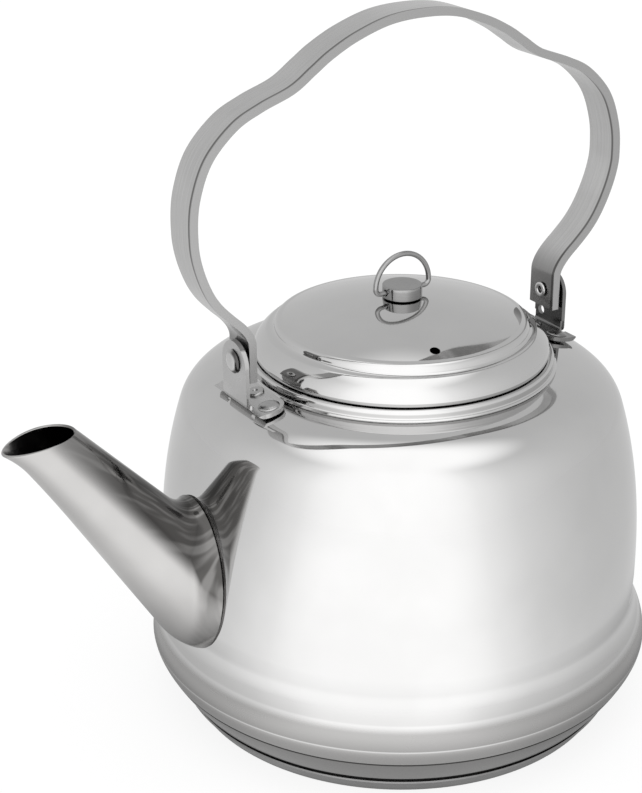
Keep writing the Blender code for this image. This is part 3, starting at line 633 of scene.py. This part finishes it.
knobShape = {"radius": 7.5 * mm, "edge": 0.4 * mm, "foot": 0.25 * mm, "bore": 2.4 * mm, "boreDepth": 3.4 * mm,
             "wireHole": 1.3 * mm, "wireHoleEnd": 3.5 * mm, "turns": 96, "step": 0.8 * mm}
ringShape = {"wire": 2.0 * mm, "arch": 11.8 * mm, "bend": 2.1 * mm, "end": 3.8 * mm, "sides": 20,
             "step": 1 * mm}


def knobProfile():
    # from the middle of the top, down the side and into the screw's bore
    shape = knobShape
    top, low = knobHigh.z, knobLow.z
    points = [(0, top), (shape["radius"] - shape["edge"], top)]
    points += bend(points[-1], (shape["radius"], top), (shape["radius"], top - shape["edge"]), 5)
    points.append((shape["radius"], low + shape["foot"]))
    points += bend(points[-1], (shape["radius"], low), (shape["radius"] - shape["foot"], low), 4)
    points += [(shape["bore"], low), (shape["bore"], low + shape["boreDepth"]), (0, low + shape["boreDepth"])]
    return points


knob = place(turned(finer(knobProfile(), knobShape["step"]), knobShape["turns"]), "lidKnob")
drillLength = knobShape["radius"] + over - knobShape["wireHoleEnd"]
drillOut = knobShape["wireHoleEnd"] + drillLength / 2
trim(knob, rods([(knobShape["wireHole"], drillLength, (side * drillOut, 0, ringHeight), (1, 0, 0))
                 for side in (-1, 1)], 24))
finish(knob, "lid", "knob_steel", [knobSteel], "lid_knob")


def ringLine():
    # middle of the wire, from one end over the arch to the other
    shape = ringShape
    foot = ringHeight + shape["bend"]
    half = [(shape["end"], ringHeight)]
    half += arc((shape["arch"] - shape["bend"], foot), shape["bend"], -quarter, 0, 12)
    half += arc((0, foot), shape["arch"], 0, quarter, 40)[1:]
    return half + [(-x, z) for x, z in reversed(half[:-1])]


def wireRings(line, radius, sides):
    # rings square to a line of (x, z) points
    rings = []
    for index, (x, z) in enumerate(line):
        before, after = line[max(index - 1, 0)], line[min(index + 1, len(line) - 1)]
        along = Vector((after[0] - before[0], 0, after[1] - before[1])).normalized()
        across = Vector((0, 1, 0))
        out = along.cross(across)
        rings.append([Vector((x, 0, z)) + (across * math.cos(turn) + out * math.sin(turn)) * radius
                      for turn in (fullTurn * side / sides for side in range(sides))])
    return rings


wire = loft(wireRings(finer(ringLine(), ringShape["step"]), ringShape["wire"] / 2, ringShape["sides"]))
bmesh.ops.holes_fill(wire, edges=wire.edges)
bmesh.ops.recalc_face_normals(wire, faces=wire.faces)
ring = place(wire, "ringPull")
finish(ring, "ring", "ring_wire", [wireSteel], "ring_pull")
print("knob and ring done")


# Spout: a cone with a lip, squeezed a little at its mouth, whose root flares out to the wall

spoutShape = {"wall": 1.0 * mm, "slope": math.radians(52.6), "out": 138.3 * mm, "height": 129.8 * mm,
              "radius": 10.5 * mm, "taper": 0.109, "mouth": 141.5 * mm, "lip": 2.4 * mm, "lipDrop": 2.6 * mm,
              "lipLength": 12.0 * mm, "squeeze": 0.11, "squeezeLength": 40.0 * mm, "rootHalfWidth": 22.9 * mm,
              "rootTop": 103.5 * mm, "rootLow": 43.3 * mm, "blend": 11.0 * mm, "heel": 4.6 * mm,
              "brow": 3.4 * mm, "bite": 1.6 * mm, "gap": 0.05 * mm, "round": 0.22 * mm, "columns": 112,
              "straightRows": 64, "rootRows": 36}
# painted shade of the spout: darker near the wall and along its upper side, with streaks of painted reflection
spoutPaintedShade = {"wallOut": (98.5 * mm, 102.5 * mm), "wallHeight": (56 * mm, 84 * mm), "wallLow": 0.3,
             "upperRise": (-1 * mm, 6 * mm), "upperOut": (114 * mm, 148 * mm), "upperFar": 0.5, "shine": 0.12,
             "tone": 0.075, "warmth": 0.03, "streakTone": 0.17, "streakWarmth": 0.02,
             "streaks": (0.45, 0.7), "grain": (40, 700, 70)}


def paintSpoutShade(book, spot, colour, rough):
    # painted shade and painted reflection: the steel is painted darker close to the wall and along the upper
    # side, in streaks
    shading, slope = spoutPaintedShade, spoutShape["slope"]
    across = book.vector("MULTIPLY", {0: spot, 1: (1, 1, 0)})
    out = book.vector("LENGTH", {0: across}, 1)
    top, upward = (-spoutShape["out"], 0, spoutShape["height"]), (math.sin(slope), 0, math.cos(slope))
    away = book.vector("SUBTRACT", {0: spot, 1: top})
    rise = book.vector("DOT_PRODUCT", {0: away, 1: upward}, 1)
    height = book.axis(spot, 2)
    close = book.blendRange(out, *shading["wallOut"], 1, 0)
    close = close * book.blendRange(height, *shading["wallHeight"], shading["wallLow"], 1)
    upper = book.blendRange(rise, *shading["upperRise"], 0, 1)
    upper = upper * book.blendRange(out, *shading["upperOut"], 1, shading["upperFar"])
    dark = (close + upper).below(1)
    grain = book.noise(book.stretch(spot, shading["grain"]), 1.0, 1, 0.4)
    shadeColour = book.mixColour(book.blendRange(grain, *shading["streaks"], 0, 1), grey(shading["tone"], shading["warmth"]),
                          grey(shading["streakTone"], shading["streakWarmth"]))
    return book.mixColour(dark, colour, shadeColour), rough - dark * shading["shine"]


spoutSteel = polished("spoutSteel", {"tone": 0.43, "dull": 0.39, "shine": 0.17, "haze": 0.06,
                                     "warmth": 0.014, "zones": paintSpoutShade})
spoutInside = satin("spoutInside", 0.16, 0.4, (60, 60, 60), {"warmth": 0.03})


def spoutPoint(along, turn):
    # point of the plain cone: distance down the axis and turn from its upper side
    shape = spoutShape
    down = Vector((math.cos(shape["slope"]), 0, -math.sin(shape["slope"])))
    up = Vector((math.sin(shape["slope"]), 0, math.cos(shape["slope"])))
    out = up * math.cos(turn) + Vector((0, math.sin(turn), 0))
    radius = shape["radius"] + shape["taper"] * along
    return Vector((-shape["out"], 0, shape["height"])) + down * along + out * radius


def spoutMouth(turn):
    # how far down the axis the level mouth cuts this side
    drop = math.cos(turn) * math.cos(spoutShape["slope"])
    level = spoutShape["height"] + spoutShape["radius"] * drop - spoutShape["mouth"]
    return level / (math.sin(spoutShape["slope"]) - spoutShape["taper"] * drop)


def spoutReach(turn, standOff):
    # how far down the axis this side still stands off the wall by standOff, found by halving
    near = spoutMouth(turn)
    far = near + 2 * spoutShape["out"]
    for step in range(40):
        middle = (near + far) / 2
        point = spoutPoint(middle, turn)
        if math.hypot(point.x, point.y) - potRadius(point.z) > standOff and point.z > potShape["waist"][1]:
            near = middle
        else:
            far = middle
    return near


def spoutColumn(turn):
    # one side of the spout, from the lip to the wall
    shape = spoutShape
    heel = (1 - math.cos(turn)) / 2
    first = spoutMouth(turn)
    cornerAt = spoutReach(turn, shape["brow"] + (shape["heel"] - shape["brow"]) * heel)
    last = cornerAt - shape["blend"]
    column = []
    for row in range(shape["straightRows"] + 1):
        fromMouth = (last - first) * row / shape["straightRows"]
        point = spoutPoint(first + fromMouth, turn)
        lip = max(0, 1 - fromMouth / shape["lipLength"]) ** 2 * max(0, -math.cos(turn)) ** 2
        dip = max(0, 1 - fromMouth / shape["squeezeLength"]) ** 2 * heel ** 2
        narrow = max(0, 1 - fromMouth / shape["squeezeLength"]) ** 2 * shape["squeeze"]
        column.append(Vector((point.x - shape["lip"] * lip, point.y * (1 - narrow),
                              point.z - shape["lipDrop"] * dip)))
    middle, half = (shape["rootTop"] + shape["rootLow"]) / 2, (shape["rootTop"] - shape["rootLow"]) / 2
    rootHeight = middle + half * math.cos(turn)
    rootSide = shape["rootHalfWidth"] * math.sin(turn)
    inside = potRadius(rootHeight) - shape["bite"]
    end = Vector((-math.sqrt(inside ** 2 - rootSide ** 2), rootSide, rootHeight))
    flare = [column[-1]]
    for point in map(Vector, bend(column[-1], spoutPoint(cornerAt, turn), end, 160)):
        if math.hypot(point.x, point.y) < potRadius(point.z) + shape["gap"]:
            break
        flare.append(point)
    return column + evenly(flare, shape["rootRows"] + 1)[1:]


spoutTurns = [fullTurn * index / spoutShape["columns"] for index in range(spoutShape["columns"])]
tube = loft([list(points) for points in zip(*map(spoutColumn, spoutTurns))])
bmesh.ops.recalc_face_normals(tube, faces=tube.faces)
spout = place(tube, "spoutTube")
thicken(spout, spoutShape["wall"])
soften(spout, spoutShape["round"], 2, 55)
finish(spout, "pot", "polished_spout", [spoutSteel, spoutInside], "spout")
print("spout done")


# Brackets: bent lugs riveted to the shoulder. The rear one has one more hole in its ear.

bracketShape = {"wall": 1.6 * mm, "out": 71.9 * mm, "in": 59.3 * mm, "bend": 1.2 * mm, "footHalf": 17.6 * mm,
                "corner": 5.6 * mm, "earHalf": 8.5 * mm, "topDrop": 1.0 * mm, "relief": 1.2 * mm,
                "hole": (1.85 * mm, 4.6 * mm, 142.0 * mm), "pivotHole": 2.5 * mm, "edge": 0.35 * mm}


def bracket(name, end, node):
    # foot and ear from one bent sheet, made at the rear and turned round for the front
    shape = bracketShape
    slope = math.tan(footTilt)
    outerBend = shape["bend"] + shape["wall"]
    earCentre = pivotHeight - shape["topDrop"]
    middle = footPoint(0)
    start = footPoint((shape["in"] - over - middle.x) / math.cos(footTilt))
    bendOut = shape["out"] - outerBend
    bendUp = middle.z - slope * (bendOut - middle.x) + outerBend / math.cos(footTilt)
    path = [(start.x, start.z)]
    path += arc((bendOut, bendUp), outerBend, -quarter - footTilt, 0, 14)
    path.append((shape["out"], earCentre + shape["earHalf"] + over))
    piece = place(ribbon(path, shape["footHalf"] + over), name)
    thicken(piece, shape["wall"], 0)
    under = middle.z - slope * (shape["out"] - middle.x)
    low, side = under - over, shape["footHalf"] + 2 * over
    footTop = under + shape["wall"] / math.cos(footTilt)
    front = [(-side, low), (side, low), (side, footTop), (shape["earHalf"], footTop)]
    front += arc((0, earCentre), shape["earHalf"], 0, math.pi, 48)
    front += [(-shape["earHalf"], footTop), (-side, footTop)]
    reach = shape["out"] - shape["in"] + 2 * over
    trim(piece, prism([(shape["out"], y, z) for y, z in front],
                      (-reach, 0, slope * reach), (over, 0, -slope * over)), "INTERSECT")
    innerX, outerX = shape["in"] + shape["corner"], shape["out"] - shape["corner"]
    turnY = shape["footHalf"] - shape["corner"]
    plan = []
    for step, centre in enumerate(((innerX, -turnY), (outerX, -turnY), (outerX, turnY), (innerX, turnY))):
        plan += arc(centre, shape["corner"], (step - 2) * quarter, (step - 1) * quarter, 14)
    plan = [(x + over if x > shape["out"] - shape["corner"] / 2 else x, y, 0) for x, y in plan]
    trim(piece, prism(plan, (0, 0, low), (0, 0, pivotHeight + 2 * shape["earHalf"])), "INTERSECT")
    reliefSide = shape["earHalf"] + shape["relief"] / 2
    reliefOut = shape["out"] - outerBend / 2
    holes = [(shape["relief"], drillDepth, (reliefOut, side * reliefSide, footTop), (0, 0, 1))
             for side in (-1, 1)]
    holes += footHoles()
    holes.append((shape["pivotHole"], drillDepth, (shape["out"], 0, pivotHeight), (1, 0, 0)))
    if end > 0:
        radius, across, height = shape["hole"]
        holes.append((radius, drillDepth, (shape["out"], across, height), (1, 0, 0)))
    trim(piece, rods(holes, 32))
    soften(piece, shape["edge"], 3)
    if end < 0:
        piece.data.transform(Matrix.Rotation(math.pi, 4, "Z"))
    # the rear bracket takes the darker copy of the steel: painted shade
    finish(piece, "pot", "satin_bracket", [rearSteel if end > 0 else bracketSteel], node)


bracket("bracketRear", 1, "bracket_rear")
bracket("bracketFront", -1, "bracket_front")
print("brackets done")


# Rivets and studs

pivotRivet = {"out": 71.9 * mm, "strapIn": 66.4 * mm, "gap": 0.3 * mm, "shank": 2.2 * mm, "head": 4.4 * mm,
              "headHeight": 1.6 * mm, "crown": 0.75, "edge": 0.1 * mm, "roll": 3.0 * mm,
              "rollHeight": 1.1 * mm, "bore": 1.3 * mm, "boreDepth": 3.2 * mm, "turns": 64}
footRivet = {"shank": 2.0 * mm, "head": 4.0 * mm, "headHeight": 0.95 * mm, "crown": 0.8, "edge": 0.1 * mm,
             "gap": 0.03 * mm, "tail": 3.2 * mm, "tailHeight": 1.0 * mm, "turns": 64}
footStud = {"shank": 1.6 * mm, "head": 3.2 * mm, "headHeight": 0.9 * mm, "crown": 0.8,
            "edge": 0.2 * mm, "tail": 2.5 * mm, "dimple": 1.0 * mm, "dimpleDepth": 0.7 * mm, "turns": 48}
# painted shadow on the pivot rivets' heads
headRimShadow = {"radius": (2.8 * mm, 3.7 * mm), "side": (-1.5 * mm, 1 * mm), "near": 0.95, "far": 0.3,
           "tone": 0.06, "warmth": 0.02}


def paintHeadRimShadow(book, spot, colour, rough):
    # painted shadow between head and ear: a pivot rivet's head is darker towards its rim, most of all on the
    # -Y side
    about = {0: spot, 1: (0, 1, 1), 2: (0, 0, -pivotHeight)}
    middle = book.vector("MULTIPLY_ADD", about)
    out = book.vector("LENGTH", {0: middle}, 1)
    side = book.axis(spot, 1)
    share = book.blendRange(out, *headRimShadow["radius"], 0, 1)
    share = share * book.blendRange(side, *headRimShadow["side"], headRimShadow["near"], headRimShadow["far"])
    return book.mixColour(share, colour, grey(headRimShadow["tone"], headRimShadow["warmth"])), rough


def pivotProfile():
    # domed head, shank and rolled tail with its hollow, the outer end up
    shape = pivotRivet
    headLow = shape["out"] + shape["gap"]
    headTop = headLow + shape["headHeight"]
    tailTop = shape["strapIn"] - shape["gap"]
    middle = tailTop - shape["rollHeight"] / 2
    points = [(0, headTop)]
    points += bend(points[-1], (shape["head"] * shape["crown"], headTop),
                   (shape["head"], headLow + shape["edge"]), 16)
    points += [(shape["head"] - shape["edge"], headLow), (shape["shank"], headLow), (shape["shank"], tailTop)]
    rollMiddle = (shape["roll"] + shape["bore"]) / 2
    wide = (shape["roll"] - shape["bore"]) / 2
    points += [(rollMiddle + wide * math.cos(turn), middle + shape["rollHeight"] / 2 * math.sin(turn))
               for turn in (math.radians(60 - 240 * step / 16) for step in range(17))]
    points += [(shape["bore"], middle), (shape["bore"], tailTop - shape["rollHeight"] + shape["boreDepth"]),
               (0, tailTop - shape["rollHeight"] + shape["boreDepth"])]
    return points


def tailDepth(shift, side):
    # how far below the foot's underside a tail starts
    point = footPoint(shift)
    return point.z - domeHeight(math.hypot(point.x, side)) + potShape["wall"] + footShape["tailGap"]


def footProfile(headLow, tailTop):
    # domed head above, flat tail under the sheet
    shape = footRivet
    headTop, tailLow = headLow + shape["headHeight"], tailTop - shape["tailHeight"]
    points = [(0, headTop)]
    points += bend(points[-1], (shape["head"] * shape["crown"], headTop),
                   (shape["head"], headLow + shape["edge"] / 2), 14)
    points += [(shape["head"] - shape["edge"], headLow), (shape["shank"], headLow), (shape["shank"], tailTop),
               (shape["tail"], tailTop), (shape["tail"], tailLow), (0, tailLow)]
    return points


def studProfile(headLow, tailTop):
    # flat head with a dimple in its middle
    shape = footStud
    headTop, tailLow = headLow + shape["headHeight"], tailTop - shape["headHeight"]
    dimple, edge, dimpleLow = shape["dimple"], shape["edge"], headTop - shape["dimpleDepth"]
    points = [(0, dimpleLow)]
    points += bend(points[-1], (dimple, dimpleLow), (dimple, headTop - edge / 2), 5)
    points += bend(points[-1], (dimple, headTop), (dimple + edge, headTop), 3)
    points.append((shape["head"] * shape["crown"], headTop))
    points += bend(points[-1], (shape["head"], headTop), (shape["head"], headLow + edge), 6)
    points += [(shape["head"], headLow), (shape["shank"], headLow), (shape["shank"], tailTop),
               (shape["tail"], tailTop), (shape["tail"], tailLow), (0, tailLow)]
    return points


def onFoot(piece, end, shift, side):
    # stands the piece on a foot, square to it
    point = footPoint(shift)
    spot = Matrix.Translation((end * point.x, side, point.z))
    piece.data.transform(spot @ Matrix.Rotation(end * footTilt, 4, "Y"))


pivotSteel = satin("pivotSteel", 0.62, 0.16, (400, 400, 400), {"zones": paintHeadRimShadow})
footHead = bracketShape["wall"] + footRivet["gap"]
rivetTail = -tailDepth(footShape["rivetShift"], footShape["rivetSide"])
studTail = -tailDepth(footShape["studShift"], 0)
# the rear rivets and stud take the darker copy of the rivet steel: painted shade
for end, where, small in ((-1, "front", rivetSteel), (1, "rear", rearRivetSteel)):
    rivet = place(turned(pivotProfile(), pivotRivet["turns"]), "pivotRivet." + where)
    rivet.data.transform(Matrix.Translation((0, 0, pivotHeight)) @ Matrix.Rotation(end * quarter, 4, "Y"))
    finish(rivet, "pot", "rivet_steel", [pivotSteel], "pivot_rivet_" + where)
    stud = place(turned(studProfile(footHead, studTail), footStud["turns"]), "footStud." + where)
    onFoot(stud, end, footShape["studShift"], 0)
    finish(stud, "pot", "rivet_steel", [small], "foot_stud_" + where)
    for side, hand in ((-1, "left"), (1, "right")):
        rivet = turned(footProfile(footHead, rivetTail), footRivet["turns"])
        rivet = place(rivet, "footRivet." + where + hand)
        onFoot(rivet, end, footShape["rivetShift"], side * footShape["rivetSide"])
        finish(rivet, "pot", "rivet_steel", [small], "foot_rivet_" + where + "_" + hand)
print("rivets done")


# Handle: one long strap bent into waves, on the two pivot rivets

strapShape = {"wall": 3.0 * mm, "width": 14.5 * mm, "edge": 1.1 * mm, "out": 69.4 * mm, "foot": 6.8 * mm,
              "straight": 6.7 * mm, "kneeCorner": 163.6 * mm, "knee": (76.3 * mm, 169.4 * mm),
              # points of half the outer face in mm, from above the knee to beside the top
              "waves": ((83.6, 176.9), (88.4, 185.0), (92.0, 195.3), (93.1, 205.0), (91.7, 217.0),
                        (86.3, 229.9), (76.0, 240.2), (65.4, 245.5), (53.2, 249.9), (45.0, 255.2),
                        (37.9, 259.8), (27.5, 264.8), (14.0, 268.9)),
              "top": 270.0 * mm, "steps": 14, "step": 1.5 * mm, "sway": 2.4 * mm, "swayHeight": 202.5 * mm,
              "hole": 2.5 * mm}
# painted shade on the strap: a dark edge line, a darker narrow side and darker ends
strapPaintedShade = {"lineStarts": (5.4 * mm, 6.0 * mm), "lineEnds": (6.5 * mm, 7.1 * mm), "line": 0.9,
             "sideStarts": (6.7 * mm, 7.1 * mm), "sideTone": 0.4, "endHeights": (160 * mm, 172 * mm),
             "end": 0.62, "tone": 0.11, "warmth": 0.02}


def paintStrapShade(book, spot, colour, rough):
    # painted shade: a dark line along the -Y edge and a darker narrow side beyond it; the ends are darker too
    shadeMarks = strapPaintedShade
    side = book.axis(spot, 1) * -1
    height = book.axis(spot, 2)
    line = book.blendRange(side, *shadeMarks["lineStarts"], 0, 1) * book.blendRange(side, *shadeMarks["lineEnds"], 1, 0)
    end = book.blendRange(height, *shadeMarks["endHeights"], shadeMarks["end"], 0)
    dark = (line * shadeMarks["line"] + end).below(1)
    colour = book.mixColour(dark, colour, grey(shadeMarks["tone"], shadeMarks["warmth"]))
    narrow = book.blendRange(side, *shadeMarks["sideStarts"], 0, 1)
    return book.mixColour(narrow, colour, grey(shadeMarks["sideTone"], satinSteel["warmth"])), rough


def strapLine():
    # outer face from one end, over the top, to the other
    shape = strapShape
    corner = (shape["out"], shape["kneeCorner"])
    half = [(shape["out"], pivotHeight - shape["foot"]), (shape["out"], pivotHeight + shape["straight"])]
    half += bend(half[-1], corner, shape["knee"], 24)
    through = [half[-1]] + [(x * mm, z * mm) for x, z in shape["waves"]] + [(0, shape["top"])]
    half += spline(through, shape["steps"], corner, (-through[-2][0], through[-2][1]))[1:]
    line = half + [(-x, z) for x, z in reversed(half[:-1])]
    low, high = half[1][1], shape["swayHeight"]
    return [(x + shape["sway"] * min(1, max(0, (z - low) / (high - low))), z) for x, z in line]


strapSteel = satin("strapSteel", 0.57, 0.2, (25, 1500, 25), {"zones": paintStrapShade})
strap = place(ribbon(finer(strapLine(), strapShape["step"]), strapShape["width"] / 2), "handleStrap")
thicken(strap, strapShape["wall"], 0)
strapMiddle = strapShape["out"] - strapShape["wall"] / 2
trim(strap, rods([(strapShape["hole"], drillDepth, (end * strapMiddle, 0, pivotHeight), (1, 0, 0))
                  for end in (-1, 1)], 32))
soften(strap, strapShape["edge"], 4)
finish(strap, "handle", "satin_strap", [strapSteel], "handle_strap")
print("handle done")


# CAD nodes that stay as they are and get their finish here

for name in ("lid_skirt", "knob_screw", "knob_washer"):
    node = frame["nodes"][name]
    node.data.materials.clear()
    node.data.materials.append(lathed(name + "Steel", 0.5, 0.26))


# Stage: a pale floor that meets a white surrounding, and soft studio light

stage = {"floorHalf": 3.0, "front": (-0.62, -0.78, 0), "paper": 0.16, "paperLight": 0.2, "cameraFloor": 0.84,
         "underReach": (0.095, 0.165), "underTone": 0.4, "gain": 1.68, "overhead": 1.62,
         "overheadFrom": (0.8, 0.97),
         "tones": ((0, 0.41), (0.14, 0.44), (0.4, 0.47), (0.58, 0.53), (0.75, 0.62), (0.87, 0.8), (0.94, 0.97),
                   (1, 1.0))}


def aroundTone(book, way):
    # how bright the studio is in a direction: a wide pale screen in front, grey card behind the kettle
    level = book.vector("MULTIPLY", {0: way, 1: (1, 1, 0)})
    flat = book.vector("NORMALIZE", {0: level})
    front = Vector(stage["front"]).normalized()
    facing = book.vector("DOT_PRODUCT", {0: flat, 1: front}, 1)
    stops = [(position, (tone, tone, tone, 1)) for position, tone in stage["tones"]]
    return book.add("ShaderNodeValToRGB", {"stops": stops}, {0: (facing + 1) * 0.5}) * stage["gain"]


floorMesh = bmesh.new()
bmesh.ops.create_grid(floorMesh, x_segments=1, y_segments=1, size=stage["floorHalf"])
floor = place(floorMesh, "floor")
floorBook = Book("floorPaper")
rays = floorBook.add("ShaderNodeLightPath")
glossy = Tone(floorBook, rays.socket.node.outputs["Is Glossy Ray"])
floorSpot = floorBook.add("ShaderNodeTexCoord", output=3)
reach = floorBook.vector("LENGTH", {0: floorSpot}, 1)
shade = floorBook.blendRange(reach, *stage["underReach"], stage["underTone"], 1)  # darker round the kettle
mirrored = (aroundTone(floorBook, floorSpot) * shade - stage["paperLight"]).above(0)
seen = mirrored * glossy + stage["cameraFloor"] * (1 - glossy)
paper = floorBook.add("ShaderNodeBsdfDiffuse", {}, {"Color": (stage["paper"],) * 3 + (1,)})
glow = floorBook.add("ShaderNodeEmission", {}, {"Color": (1, 1, 1, 1), "Strength": seen})
both = floorBook.add("ShaderNodeAddShader", {}, {0: paper, 1: glow})
floorBook.add("ShaderNodeOutputMaterial", {}, {"Surface": both})
floor.data.materials.append(floorBook.owner)

scene = bpy.context.scene
scene.world = bpy.data.worlds.new("studio")
sky = Book("studio", scene.world)
skyRays = sky.add("ShaderNodeLightPath")
direct = Tone(sky, skyRays.socket.node.outputs["Is Camera Ray"])
way = sky.add("ShaderNodeTexCoord", output=0)
height = sky.axis(way, 2)
above = sky.blendRange(height, *stage["overheadFrom"], 0, 1)
tone = aroundTone(sky, way) * (1 - above) + stage["overhead"] * above
lit = direct + tone * (1 - direct)
ground = sky.add("ShaderNodeBackground", {}, {"Color": (1, 1, 1, 1), "Strength": lit})
sky.add("ShaderNodeOutputWorld", {}, {"Surface": ground})
print("stage done")


# Camera: read from the photograph's own lines

view = {"place": (-0.34305634, -0.50681494, 0.39273925), "right": (0.84243105, -0.538794, 0.00331063),
        "up": (0.23242888, 0.36894362, 0.89992079), "lens": 79.19, "shiftX": -0.0510, "shiftY": 0.0762}
lens = bpy.data.cameras.new("camera")
lens.sensor_width = 36
lens.sensor_fit = "AUTO"
lens.lens = view["lens"]
lens.shift_x, lens.shift_y = view["shiftX"], view["shiftY"]
lens.clip_start, lens.clip_end = 0.01, 50
camera = bpy.data.objects.new("camera", lens)
scene.collection.objects.link(camera)
right, up = Vector(view["right"]).normalized(), Vector(view["up"]).normalized()
facing = Matrix((right, up, right.cross(up))).transposed().to_4x4()
camera.matrix_world = Matrix.Translation(view["place"]) @ facing
scene.camera = camera
scene.view_settings.view_transform = "Standard"

print("scene done")
